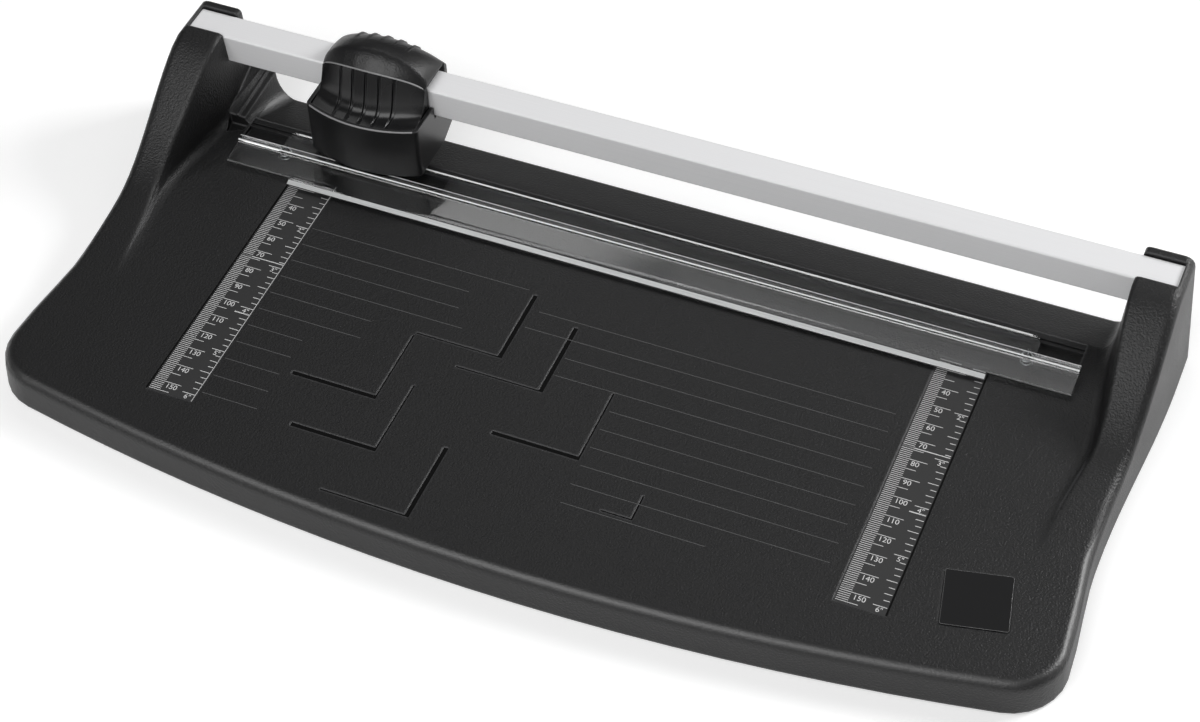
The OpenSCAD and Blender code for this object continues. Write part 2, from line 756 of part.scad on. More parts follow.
module paper_clamp() {
    plate = 1.4;
    rise = 0.7;
    rib_r = 0.9;
    bead_r = bead_w / 2;
    wing_corner = 4;
    color([0.85, 0.87, 0.88, 0.4]) {
        difference() {
            union() {
                // Bar with its sloping front plate and the rib
                clamp_run(clamp_l, clamp_shift)
                    polygon(concat(
                        [[rib_rear, 0], [bar_front, 0], [bar_front, plate - 0.3]],
                        [[rib_rear + rib_w + 0.5, plate + rise - 0.1], [rib_rear + rib_w, plate + rise + 0.3]],
                        round_corner([rib_rear + rib_w - rib_r, rib_h - rib_r], rib_r, 0),
                        round_corner([rib_rear + rib_r, rib_h - rib_r], rib_r, 90)
                    ));
                // Front lip between the rulers' outer edges, bevelled in front
                clamp_run(lip_l, 0)
                    polygon([
                        [bar_front - 1, 0], [lip_front, 0], [lip_front, 0.3],
                        [lip_front - lip_bevel, plate - 0.3], [bar_front - 1, plate - 0.2]
                    ]);
                // Rear wing with its thick edge
                intersection() {
                    clamp_run(wing_l, clamp_shift)
                        polygon(concat(
                            [[wing_rear, 0], [rib_rear + 1, 0], [rib_rear + 1, wing_t]],
                            [[wing_rear + bead_w + 0.3, wing_t]],
                            round_corner([wing_rear + bead_r, wing_t + 0.8 - bead_r], bead_r, 0),
                            round_corner([wing_rear + bead_r, wing_t + 0.8 - bead_r], bead_r, 90)
                        ));
                    translate([clamp_shift, 0, 0]) {
                        for (s = [-1, 1])
                            translate([
                                s * (wing_l / 2 - wing_corner), cut_y - wing_rear - wing_corner, clamp_z - 1
                            ])
                                cylinder(r = wing_corner, h = rib_h + 2);
                        translate([-wing_l / 2 + wing_corner, cut_y - rib_rear - 2, clamp_z - 1])
                            cube([wing_l - 2 * wing_corner, rib_rear + 2 - wing_rear, rib_h + 2]);
                        translate([-wing_l / 2, cut_y - rib_rear - 2, clamp_z - 1])
                            cube([wing_l, rib_rear + 2 - wing_rear - wing_corner, rib_h + 2]);
                    }
                }
                // Nubs on the rib: over the two guide pins, and one in the middle
                for (x = [-pin_x, 0, pin_x])
                    translate([x + clamp_shift, pin_y, clamp_z]) cylinder(d = nub_d, h = rib_h);
                for (s = [-1, 1])
                    translate([s * pin_x + clamp_shift, pin_y, pin_bottom])
                        cylinder(d = pin_d, h = clamp_z + 1 - pin_bottom);
            }
            for (s = [-1, 1])
                translate([s * pin_x + clamp_shift, pin_y, pin_bottom - 1])
                    cylinder(d = pin_screw_d + 2 * run_gap, h = pin_screw_l + 2);
        }
    }
}

// Closed tube that follows a list of points, with a ring at each one
module swept_tube(path, r, sides) {
    n = len(path);
    function dir(i) = let (d = path[min(n - 1, i + 1)] - path[max(0, i - 1)]) d / norm(d);
    function ring(i) =
        let (d = dir(i), u = cross([0, 0, 1], d), v = u / norm(u), w = cross(d, v))
        [for (k = [0 : sides - 1]) path[i] + r * (cos(360 * k / sides) * v + sin(360 * k / sides) * w)];
    points = [for (i = [0 : n - 1]) each ring(i)];
    sides_faces = [
        for (i = [0 : n - 2])
            for (k = [0 : sides - 1])
                let (a = i * sides + k, b = i * sides + (k + 1) % sides)
                each [[a, b, b + sides], [a, b + sides, a + sides]]
    ];
    ends = concat(
        [for (k = [1 : sides - 2]) [0, k + 1, k]],
        [for (k = [1 : sides - 2]) [(n - 1) * sides, (n - 1) * sides + k, (n - 1) * sides + k + 1]]
    );
    polyhedron(points, concat(sides_faces, ends));
}

// Least gap between the turns of a path, over points at least half a turn apart
function least_gap(path, wire, steps) =
    let (last = len(path) - 1)
    min([for (i = [0 : last]) for (j = [i + steps / 2 : 1 : last]) norm(path[i] - path[j])]) - wire;

// Compression spring standing on Z = 0
module coil_spring(d, wire, height, turns) {
    steps = 10;
    mean = (d - wire) / 2;
    path = [
        for (i = [0 : turns * steps]) let (t = i / steps)
            [mean * cos(360 * t), mean * sin(360 * t), wire / 2 + (height - wire) * t / turns]
    ];
    echo(str("least gap of a spring's turns, mm: ", least_gap(path, wire, steps)));
    swept_tube(path, wire / 2, 6);
}

module clamp_springs() {
    color([0.75, 0.76, 0.78])
    for (s = [-1, 1])
        translate([s * pin_x + clamp_shift, pin_y, table_h - spring_seat + 0.02])
            coil_spring(spring_d, spring_wire, clamp_z - table_h + spring_seat - 0.04, 4);
}

pin_screw_d = 2;
pin_screw_l = 6;
module clamp_screws() {
    color([0.7, 0.7, 0.72])
    for (s = [-1, 1])
        translate([s * pin_x + clamp_shift, pin_y, pin_bottom - head_h]) {
            cylinder(d = pin_head_d, h = head_h);
            cylinder(d = pin_screw_d, h = head_h + pin_screw_l);
        }
}

// The head's own place: X from its middle, Y from the cut line, Z from the table
module head_place() {
    translate([head_x, cut_y, table_h]) children();
}

module slider_block() {
    outer = rail_s + 2 * (glide_gap + slider_t);
    color([0.3, 0.3, 0.31])
    head_place()
        difference() {
            union() {
                translate([-slider_l / 2, rail_mid - outer / 2, slider_bottom])
                    cube([slider_l, outer, outer]);
                // Guides for the carrier's tongue
                for (s = [-1, 1])
                    translate([
                        s * (tongue_w / 2 + pass_gap + guide_w / 2) - guide_w / 2, carrier_front, guide_low
                    ])
                        cube([guide_w, slider_front - carrier_front + eps, guide_top - guide_low]);
            }
            translate([-slider_l / 2 - 1, rail_front - glide_gap, rail_lift - glide_gap])
                cube([slider_l + 2, rail_s + 2 * glide_gap, rail_s + 2 * glide_gap]);
            // Bevel at the upper rear edge, under the curve of the cap
            translate([0, rail_mid + outer / 2, slider_top])
                rotate([45, 0, 0])
                    cube([slider_l + 2, sleeve_edge * sqrt(2), sleeve_edge * sqrt(2)], center = true);
            for (s = [-1, 1])
                translate([s * post_x, rail_mid, slider_bottom - 1])
                    cylinder(d = screw_d + 2 * run_gap, h = slider_t + 2);
        }
}

// Plan of the head, drawn in by a distance
module head_plan(inset) {
    r = max(head_corner - inset, 0.5);
    offset(r = r, $fn = 32) offset(delta = -r)
        intersection() {
            translate([0, front_arc - head_front]) circle(front_arc - inset, $fn = arc_fn);
            translate([0, head_back - back_arc]) circle(back_arc - inset, $fn = 2 * arc_fn);
            translate([-head_w / 2 + inset, -head_front])
                square([head_w - 2 * inset, head_front + head_back]);
        }
}

module head_body() {
    slope_from = rail_front + 6;
    slope_rise = 8;
    slope_run = head_back - slope_from;
    blade_gate = 3;
    color([0.06, 0.06, 0.063])
    head_place()
        difference() {
            union() {
                difference() {
                    translate([0, 0, head_lift]) linear_extrude(rim_z - head_lift) head_plan(0);
                    translate([0, 0, head_lift + floor_t]) linear_extrude(rim_z) head_plan(head_t);
                }
                // Sloping floor under the back
                intersection() {
                    translate([0, 0, head_lift]) linear_extrude(rim_z - head_lift) head_plan(0);
                    translate([-head_w / 2, slope_from, head_lift])
                        rotate([atan(slope_rise / slope_run), 0, 0])
                            cube([head_w, slope_run * 2, floor_t]);
                }
                // Posts that carry the sleeve
                for (s = [-1, 1])
                    translate([s * post_x, rail_mid, head_lift])
                        cylinder(d = post_d, h = slider_bottom - head_lift);
            }
            translate([-head_w, slope_from, head_lift])
                rotate([atan(slope_rise / slope_run), 0, 0])
                    translate([0, -1, -20]) cube([2 * head_w, slope_run * 2, 20]);
            // Openings in the sides for the rail
            translate([-head_w, window_front, window_z])
                cube([2 * head_w, window_back - window_front, rim_z]);
            // Gate for the blade
            translate([-blade_d / 2, -blade_gate / 2, head_lift - 1])
                cube([blade_d, blade_gate, floor_t + 2]);
            for (s = [-1, 1])
                translate([s * post_x, rail_mid, 0]) {
                    cylinder(d = screw_d + 2 * screw_clear, h = slider_bottom + 1);
                    cylinder(d = head_d + 2 * screw_clear, h = slider_bottom - seat_floor);
                }
        }
}

module body_screws() {
    color([0.7, 0.7, 0.72])
    head_place()
        for (s = [-1, 1])
            translate([s * post_x, rail_mid, slider_bottom - seat_floor - head_h])
                screw(seat_floor + slider_t - 0.2);
}

// Arch of the cap across its width, 1 in the middle
function arch(x) = sqrt(max(0, 1 - pow(0.97 * x / cap_half, 2)));
arch_foot = eave_z - 2;
function cap_top(x) = arch_foot + (crown_z - arch_foot) * arch(x);
function cap_ridge(x) = cap_top(x) - 1 - (ridge_fall - 1) * arch(x);
function cap_front(x) = -head_front + front_arc - sqrt(pow(front_arc, 2) - x * x) + head_t + rim_gap;
function cap_back(x) = head_back - back_arc + sqrt(pow(back_arc, 2) - x * x) - head_t - rim_gap;
function cap_ridge_y(x) = ridge_y + head_bulge * pow(x / cap_half, 2);

// Curve from a to c that turns tightly near b
bend_w = 2.5;
function bend(a, b, c, t) =
    (a * pow(1 - t, 2) + b * 2 * bend_w * t * (1 - t) + c * pow(t, 2))
        / (pow(1 - t, 2) + 2 * bend_w * t * (1 - t) + pow(t, 2));

// Places along the grip's hollow, and how much of a groove's depth is there: all but the ends
bend_ts = [0.03, 0.09, 0.2, 0.32, 0.44, 0.56, 0.68, 0.8, 0.91, 0.97];
function groove_hold(t) = min(1, t / 0.06, (1 - t) / 0.05);
function rib_hold(a) = max(0, min(1, (a - 22) / 15, (90 - a) / 20));

// Height of the cap's back at a place behind the crown
function cap_back_z(x, y) =
    cap_shoulder + (cap_top(x) - cap_shoulder) * sqrt(1 - pow((y - crown_y) / (cap_back(x) - crown_y), 2));
press_seat_d = press_spring_d + 1.4;
press_seat_r = press_seat_d / 2;
press_seat_z = cap_back_z(press_spring_x + press_seat_r, press_spring_y + press_seat_r) - cap_t - 1.2;

// Places of the grooves, and whether a place across the cap lies in one, 1 or 0
groove_xs = [for (i = [0 : groove_n - 1]) (i - (groove_n - 1) / 2) * groove_pitch];
function in_groove(x) =
    len([for (g = groove_xs) if (abs(x - g) < groove_w / 2) 1]);

// Section of the cap at x, drawn in by a distance, as [y, z]. A groove in front has a rib behind it
function cap_section(x, inset, groove) =
    let (front = cap_front(x) + inset, back = cap_back(x) - inset)
    let (ridge = [cap_ridge_y(x) + inset * 0.8, cap_ridge(x) - inset], top = cap_top(x) - inset)
    let (low = inset > 0 ? skirt_z - 1 : skirt_z)
    let (knee = [knee_y + ridge.x - ridge_y, rim_z - 0.5 - inset])
    let (dome = ridge + [ridge_flat, -0.1])
    concat(
        [[front, low], [front, rim_z - 0.8 - inset]],
        [for (t = bend_ts)
            bend([front + 0.4, rim_z - 0.6 - inset], knee, ridge, t)
                + groove * groove_hold(t) * [0.9, -0.4]],
        [ridge],
        [for (i = [0 : 4]) let (t = i / 5)
            [dome.x + (crown_y - dome.x) * t, dome.y + (top - dome.y) * sin(90 * t)]],
        [for (a = [0 : 15 : 90]) let (rib = groove > 0 ? back_rib_h * rib_hold(a) : 0)
            [crown_y + (back - crown_y + rib) * sin(a), cap_shoulder + (top - cap_shoulder + rib) * cos(a)]],
        [[back, low]]
    );

// Loft of the sections across the cap
module cap_loft(stations, inset) {
    sections = [for (x = stations) cap_section(x, inset, inset > 0 ? 0 : groove_depth * in_groove(x))];
    n = len(stations);
    m = len(sections[0]);
    points = [for (i = [0 : n - 1]) for (p = sections[i]) [stations[i], p.x, p.y]];
    faces = concat(
        [for (i = [0 : n - 2]) for (k = [0 : m - 1])
            [i * m + k, i * m + (k + 1) % m, (i + 1) * m + (k + 1) % m, (i + 1) * m + k]],
        [[for (k = [m - 1 : -1 : 0]) k]],
        [[for (k = [-1 : m - 2]) (n - 1) * m + (k + m) % m]]
    );
    polyhedron(points, faces, convexity = 8);
}

// Stations across the cap: close at the ends, with a pair at each side of a groove
groove_step = groove_w / 2;
end_xs = [for (a = [0 : 7]) cap_half * (1 - (1 - cos(a * 11)) * 0.62)];
groove_end = groove_xs[groove_n - 1] + groove_step + 0.6;
side_xs = [for (x = end_xs) if (x > groove_end) x];
groove_wall = 0.2;
middle_xs = [
    for (x = groove_xs)
        each [
            x - groove_step - groove_wall, x - groove_step + groove_wall,
            x + groove_step - groove_wall, x + groove_step + groove_wall
        ]
];
cap_xs = concat([for (x = side_xs) -x], middle_xs, [for (i = [len(side_xs) - 1 : -1 : 0]) side_xs[i]]);
inner_half = cap_half - cap_t;
inner_xs = [for (a = [-90 : 15 : 90]) inner_half * sin(a)];

module grip_cap() {
    color([0.05, 0.05, 0.053])
    head_place() {
        difference() {
            union() {
                difference() {
                    cap_loft(cap_xs, 0);
                    cap_loft(inner_xs, cap_t);
                }
                // Bosses for the carrier's screws and seats for the springs
                for (s = [-1, 1]) {
                    translate([s * cap_screw_x, cap_screw_y, flange_top])
                        cylinder(d = 5, h = cap_ridge(cap_screw_x) - cap_t / 2 - flange_top);
                    translate([s * press_spring_x, press_spring_y, press_seat_z])
                        cylinder(d = press_seat_d, h = 2.2);
                }
            }
            // Openings in the sides for the rail
            translate([-head_w, window_front, skirt_z - 2])
                cube([2 * head_w, window_back - window_front, eave_z - skirt_z + 2 - 0.01]);
            for (s = [-1, 1])
                translate([s * cap_screw_x, cap_screw_y, flange_top - 1])
                    cylinder(d = screw_d + 2 * run_gap, h = 6);
        }
    }
}

module blade_carrier() {
    color([0.22, 0.22, 0.23])
    head_place()
        difference() {
            union() {
                // Broad plate behind the blade
                translate([-carrier_w / 2, carrier_front, carrier_low])
                    cube([carrier_w, carrier_t, carrier_top - carrier_low]);
                // Tongue between the sleeve's guides
                translate([-tongue_w / 2, carrier_front, carrier_low])
                    cube([tongue_w, carrier_t, flange_top - carrier_low]);
                // Flange under the cap
                translate([-flange_w / 2, flange_front, flange_top - flange_t])
                    cube([flange_w, carrier_back - flange_front, flange_t]);
            }
            translate([0, carrier_front - 1, blade_z])
                rotate([-90, 0, 0]) cylinder(d = axle_d + 0.02, h = carrier_t + 2);
            for (s = [-1, 1])
                translate([s * cap_screw_x, cap_screw_y, flange_top - flange_t - 1])
                    cylinder(d = screw_d + 2 * screw_clear, h = flange_t + 2);
        }
}

module carrier_screws() {
    color([0.7, 0.7, 0.72])
    head_place()
        for (s = [-1, 1])
            translate([s * cap_screw_x, cap_screw_y, flange_top - flange_t - head_h]) {
                cylinder(d = head_d - 0.6, h = head_h);
                cylinder(d = screw_d, h = head_h + flange_t + 4.6);
            }
}

module press_springs() {
    color([0.75, 0.76, 0.78])
    head_place()
        for (s = [-1, 1])
            translate([s * press_spring_x, press_spring_y, slider_top + 0.02])
                coil_spring(press_spring_d, press_wire, press_seat_z - slider_top - 0.04, 4);
}

// Along the blade's axle: Z of the children points to the back, Z = 0 on the cut line
module on_axle() {
    head_place() translate([0, 0, blade_z]) rotate([-90, 0, 0]) children();
}

clip_gap = 0.3;
clip_t = 0.6;
axle_end = hub_front - clip_gap - clip_t - 0.8;
module blade_axle() {
    color([0.72, 0.73, 0.75])
    on_axle() {
        translate([0, 0, axle_end]) cylinder(d = axle_d, h = carrier_back - axle_end);
        translate([0, 0, carrier_back]) cylinder(d = axle_d + 2.4, h = 1);
    }
}

module axle_clip() {
    color([0.35, 0.36, 0.38])
    on_axle()
        translate([0, 0, hub_front - clip_gap - clip_t])
            difference() {
                cylinder(d = axle_d + 3, h = clip_t);
                translate([0, 0, -1]) cylinder(d = axle_d + 0.02, h = clip_t + 2);
            }
}

module round_blade() {
    bevel = 1.5;
    r = blade_d / 2;
    edge = 0.06;
    color([0.75, 0.76, 0.78])
    on_axle()
        rotate_extrude($fn = arc_fn)
            polygon([
                [hub_d / 2 + run_gap, -blade_t / 2], [r - bevel, -blade_t / 2], [r, -edge / 2],
                [r, edge / 2], [r - bevel, blade_t / 2], [hub_d / 2 + run_gap, blade_t / 2]
            ]);
}

module blade_hub() {
    bore = axle_d / 2 + run_gap;
    flange_r = min(hub_d / 2 + 2.4, blade_z - press_travel - head_lift - floor_t - pass_gap);
    color([0.8, 0.8, 0.79])
    on_axle()
        rotate_extrude()
            polygon([
                [bore, hub_front], [hub_d / 2, hub_front], [hub_d / 2, blade_t / 2 + 0.02],
                [flange_r, blade_t / 2 + 0.02], [flange_r, hub_back], [bore, hub_back]
            ]);
}

base_housing();
rubber_feet();
guide_rail();
rail_plugs();
rail_screws();
cutting_strip();
left_ruler();
right_ruler();
badge_plate();
paper_clamp();
clamp_springs();
clamp_screws();
slider_block();
head_body();
body_screws();
grip_cap();
blade_carrier();
carrier_screws();
press_springs();
blade_axle();
axle_clip();
round_blade();
blade_hub();
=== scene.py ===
import math

import bmesh
import bpy
from mathutils import Matrix, Vector


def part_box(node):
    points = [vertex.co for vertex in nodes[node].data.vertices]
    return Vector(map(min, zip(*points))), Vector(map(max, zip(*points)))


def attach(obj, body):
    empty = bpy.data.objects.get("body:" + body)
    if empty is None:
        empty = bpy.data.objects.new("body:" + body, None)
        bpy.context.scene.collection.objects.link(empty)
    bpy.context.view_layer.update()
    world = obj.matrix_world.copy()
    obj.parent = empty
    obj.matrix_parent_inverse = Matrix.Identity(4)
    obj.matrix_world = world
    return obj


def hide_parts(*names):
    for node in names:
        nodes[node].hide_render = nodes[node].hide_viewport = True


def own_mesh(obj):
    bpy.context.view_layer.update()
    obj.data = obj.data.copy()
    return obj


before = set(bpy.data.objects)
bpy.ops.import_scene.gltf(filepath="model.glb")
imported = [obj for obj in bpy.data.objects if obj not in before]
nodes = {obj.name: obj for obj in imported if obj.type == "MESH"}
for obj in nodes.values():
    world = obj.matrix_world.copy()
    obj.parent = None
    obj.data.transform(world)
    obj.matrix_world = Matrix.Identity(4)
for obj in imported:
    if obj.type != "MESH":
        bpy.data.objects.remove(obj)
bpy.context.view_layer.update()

# The studio: a white paper sweep on the floor, a big soft box and a weak fill in front, three
# soft boxes behind, and the camera of a catalogue picture, high up to the right of the front.
scene = bpy.context.scene
scene.view_settings.view_transform = "Standard"

floor_grey, floor_glow, floor_size = 0.82, 0.35, 60.0
floor_mesh = bpy.data.meshes.new("floor")
bm = bmesh.new()
bmesh.ops.create_grid(bm, x_segments=4, y_segments=4, size=floor_size / 2)
bm.to_mesh(floor_mesh)
bm.free()
floor = bpy.data.objects.new("floor", floor_mesh)
scene.collection.objects.link(floor)

# The sweep glows a little to the camera, in reflections and through the clear clamp, and it
# lights nothing by that
floor_paint = bpy.data.materials.new("white sweep")
floor_paint.use_nodes = True
sweep = floor_paint.node_tree
sweep.nodes.clear()
sweep_out = sweep.nodes.new("ShaderNodeOutputMaterial")
sweep_add = sweep.nodes.new("ShaderNodeAddShader")
sweep_matt = sweep.nodes.new("ShaderNodeBsdfDiffuse")
sweep_matt.inputs["Color"].default_value = (floor_grey, floor_grey, floor_grey, 1)
sweep_glow = sweep.nodes.new("ShaderNodeEmission")
sweep_path = sweep.nodes.new("ShaderNodeLightPath")
sweep_seen, sweep_any, sweep_level = (sweep.nodes.new("ShaderNodeMath") for _ in range(3))
sweep_seen.operation = sweep_any.operation = "ADD"
sweep_any.use_clamp = True
sweep_level.operation = "MULTIPLY"
sweep_level.inputs[1].default_value = floor_glow
sweep.links.new(sweep_path.outputs["Is Camera Ray"], sweep_seen.inputs[0])
sweep.links.new(sweep_path.outputs["Is Glossy Ray"], sweep_seen.inputs[1])
sweep.links.new(sweep_seen.outputs[0], sweep_any.inputs[0])
sweep.links.new(sweep_path.outputs["Is Transmission Ray"], sweep_any.inputs[1])
sweep.links.new(sweep_any.outputs[0], sweep_level.inputs[0])
sweep.links.new(sweep_level.outputs[0], sweep_glow.inputs["Strength"])
sweep.links.new(sweep_matt.outputs[0], sweep_add.inputs[0])
sweep.links.new(sweep_glow.outputs[0], sweep_add.inputs[1])
sweep.links.new(sweep_add.outputs[0], sweep_out.inputs["Surface"])
floor_mesh.materials.append(floor_paint)

room_level = 0.13
world = bpy.data.worlds.new("grey room")
scene.world = world
world.use_nodes = True
room = world.node_tree
room.nodes.clear()
room_out = room.nodes.new("ShaderNodeOutputWorld")
room_light = room.nodes.new("ShaderNodeBackground")
room_light.inputs["Strength"].default_value = room_level
room.links.new(room_light.outputs[0], room_out.inputs["Surface"])


def soft_box(name, place, aim, width, height, power):
    """Rectangular studio lamp that faces a point."""
    lamp = bpy.data.lights.new(name, "AREA")
    lamp.shape = "RECTANGLE"
    lamp.size, lamp.size_y, lamp.energy = width, height, power
    holder = bpy.data.objects.new(name, lamp)
    scene.collection.objects.link(holder)
    holder.location = place
    holder.rotation_euler = (Vector(aim) - Vector(place)).to_track_quat("-Z", "Y").to_euler()


soft_box("front overhead", place=(-0.25, -0.95, 1.15), aim=(0, 0, 0), width=1.5, height=1.0, power=16)
soft_box("front fill", place=(0.25, -1.6, 0.5), aim=(0, 0, 0.02), width=1.2, height=0.6, power=1.6)
soft_box("back right", place=(1.05, 0.9, 0.85), aim=(0, 0, 0.02), width=0.6, height=0.6, power=17)
soft_box("back left", place=(-0.50, 0.75, 1.12), aim=(-0.05, 0.06, 0.02),
         width=0.75, height=0.12, power=0.85)
soft_box("back overhead", place=(0.12, 0.68, 1.15), aim=(0.1, -0.05, 0.02),
         width=0.9, height=0.55, power=1.25)

# Place of the camera in metres and its angles in degrees, fitted to the ruler marks in the picture
camera_place = (0.304459, -0.651752, 0.814537)
view_turn, view_height, view_roll = 24.252, 47.939, -2.321
focal_px, image_px = 2638.212, 1200
sensor_width, view_end = 36, 50
turn, lift, roll = (math.radians(v) for v in (view_turn, view_height, view_roll))
back = Vector((math.sin(turn) * math.cos(lift), -math.cos(turn) * math.cos(lift), math.sin(lift)))
right = Vector((math.cos(turn), math.sin(turn), 0))
up = back.cross(right)
across = right * math.cos(roll) + up * math.sin(roll)
upright = up * math.cos(roll) - right * math.sin(roll)
camera = bpy.data.objects.new("camera", bpy.data.cameras.new("camera"))
scene.collection.objects.link(camera)
camera.data.sensor_width = sensor_width
camera.data.lens = focal_px / image_px * sensor_width
camera.data.clip_end = view_end
camera_axes = Matrix((across, upright, back)).transposed().to_4x4()
camera.matrix_world = Matrix.Translation(camera_place) @ camera_axes
scene.camera = camera

# The base: one big moulding in black ABS with a fine spark-eroded grain, ribbed underneath,
# with a sloping wing and a tower at each end that carry the rail.
mm = 0.001
weld_reach = 0.00001


def soften(node, angle):
    """Joins the faces of a CAD piece and shades them round where they meet at less than an angle."""
    group = bpy.data.node_groups.get("soft_shading")
    if group is None:
        group = bpy.data.node_groups.new("soft_shading", "GeometryNodeTree")
        group.interface.new_socket("Geometry", in_out="INPUT", socket_type="NodeSocketGeometry")
        group.interface.new_socket("Angle", in_out="INPUT", socket_type="NodeSocketFloat")
        group.interface.new_socket("Geometry", in_out="OUTPUT", socket_type="NodeSocketGeometry")
        start, end = group.nodes.new("NodeGroupInput"), group.nodes.new("NodeGroupOutput")
        weld = group.nodes.new("GeometryNodeMergeByDistance")
        weld.inputs["Distance"].default_value = weld_reach
        bent = group.nodes.new("GeometryNodeInputMeshEdgeAngle")
        sharp = group.nodes.new("FunctionNodeCompare")
        normal = group.nodes.new("GeometryNodeSetMeshNormal")
        normal.mode = "SHARPNESS"
        normal.inputs["Remove Custom"].default_value = True
        group.links.new(start.outputs["Geometry"], weld.inputs["Geometry"])
        group.links.new(weld.outputs["Geometry"], normal.inputs["Mesh"])
        group.links.new(bent.outputs["Unsigned Angle"], sharp.inputs["A"])
        group.links.new(start.outputs["Angle"], sharp.inputs["B"])
        group.links.new(sharp.outputs["Result"], normal.inputs["Edge Sharpness"])
        group.links.new(normal.outputs["Mesh"], end.inputs["Geometry"])
    join = nodes[node].modifiers.new("soft shading", "NODES")
    join.node_group = group
    join["Socket_1"] = math.radians(angle)
    even = nodes[node].modifiers.new("even shading", "WEIGHTED_NORMAL")
    even.keep_sharp = True


def dress(node, material):
    """Gives a CAD piece its finish."""
    mesh = nodes[node].data
    mesh.materials.clear()
    mesh.materials.append(material)


def new_material(name):
    """Empty node material with a principled shader, as (material, nodes, shader, join)."""
    material = bpy.data.materials.new(name)
    material.use_nodes = True
    tree = material.node_tree
    tree.nodes.clear()
    out = tree.nodes.new("ShaderNodeOutputMaterial")
    shader = tree.nodes.new("ShaderNodeBsdfPrincipled")
    tree.links.new(shader.outputs["BSDF"], out.inputs["Surface"])
    return material, tree.nodes, shader, tree.links.new


def group_tree(name, inputs, outputs):
    """Empty shader node group with named sockets, as (group, input node, output node)."""
    group = bpy.data.node_groups.new(name, "ShaderNodeTree")
    for label, value in inputs:
        socket = group.interface.new_socket(label, in_out="INPUT", socket_type="NodeSocketFloat")
        socket.default_value = value
    for label, kind in outputs:
        group.interface.new_socket(label, in_out="OUTPUT", socket_type=kind)
    return group, group.nodes.new("NodeGroupInput"), group.nodes.new("NodeGroupOutput")


def use_group(tree, group, **values):
    """Places a shared effect in a material, with values of its own."""
    effect = tree.new("ShaderNodeGroup")
    effect.node_tree = group
    for label, value in values.items():
        effect.inputs[label].default_value = value
    return effect


def blend_tones(tree, join, mask, first, second):
    """Colour that goes from one tone to another with a mask."""
    tone = tree.new("ShaderNodeMix")
    tone.data_type = "RGBA"
    tone.inputs["A"].default_value = (*first, 1)
    tone.inputs["B"].default_value = (*second, 1)
    join(mask, tone.inputs["Factor"])
    return tone.outputs["Result"]


def blend_values(tree, join, mask, first, second):
    """Value that goes from one number to another with a mask."""
    value = tree.new("ShaderNodeMapRange")
    value.inputs["To Min"].default_value = first
    value.inputs["To Max"].default_value = second
    join(mask, value.inputs["Value"])
    return value.outputs["Result"]


# Moulded grain: fine pits of a spark-eroded tool, with a slow drift in gloss
pit_share, drift_scale = 0.6, 38.0
grain, start, end = group_tree(
    "moulded grain", [("Pitch", 0.0006)], [("Height", "NodeSocketFloat"), ("Drift", "NodeSocketFloat")])
place = grain.nodes.new("ShaderNodeTexCoord")
per_metre = grain.nodes.new("ShaderNodeMath")
per_metre.operation = "DIVIDE"
per_metre.inputs[0].default_value = 1.0
pits = grain.nodes.new("ShaderNodeTexVoronoi")
pits.feature = "SMOOTH_F1"
speck = grain.nodes.new("ShaderNodeTexNoise")
speck.inputs["Detail"].default_value = 3.0
blend = grain.nodes.new("ShaderNodeMath")
blend.operation = "MULTIPLY_ADD"
blend.inputs[1].default_value = pit_share
slow = grain.nodes.new("ShaderNodeTexNoise")
slow.inputs["Scale"].default_value = drift_scale
slow.inputs["Detail"].default_value = 2.0
grain.links.new(start.outputs["Pitch"], per_metre.inputs[1])
for texture in (pits, speck):
    grain.links.new(place.outputs["Object"], texture.inputs["Vector"])
    grain.links.new(per_metre.outputs[0], texture.inputs["Scale"])
grain.links.new(place.outputs["Object"], slow.inputs["Vector"])
grain.links.new(pits.outputs["Distance"], blend.inputs[0])
grain.links.new(speck.outputs["Fac"], blend.inputs[2])
grain.links.new(blend.outputs[0], end.inputs["Height"])
grain.links.new(slow.outputs["Fac"], end.inputs["Drift"])

# Edge line: a small round on every sharp edge, and a mask of the edge itself, by which the plastics paint
# their edges paler, partly as wear and partly as a painted highlight. The mask is full where the round turns
# away from the face by this cosine.
wear_and_sheen_turn = 0.86
edges, start, end = group_tree(
    "edge line", [("Radius", 0.0005)], [("Mask", "NodeSocketFloat"), ("Normal", "NodeSocketVector")])
rounded = edges.nodes.new("ShaderNodeBevel")
rounded.samples = 6
flat = edges.nodes.new("ShaderNodeNewGeometry")
bend = edges.nodes.new("ShaderNodeVectorMath")
bend.operation = "DOT_PRODUCT"
wear_and_sheen = edges.nodes.new("ShaderNodeMapRange")
wear_and_sheen.inputs["From Min"].default_value = 1.0
wear_and_sheen.inputs["From Max"].default_value = wear_and_sheen_turn
edges.links.new(start.outputs["Radius"], rounded.inputs["Radius"])
edges.links.new(rounded.outputs["Normal"], bend.inputs[0])
edges.links.new(flat.outputs["Normal"], bend.inputs[1])
edges.links.new(bend.outputs["Value"], wear_and_sheen.inputs["Value"])
edges.links.new(wear_and_sheen.outputs["Result"], end.inputs["Mask"])
edges.links.new(rounded.outputs["Normal"], end.inputs["Normal"])

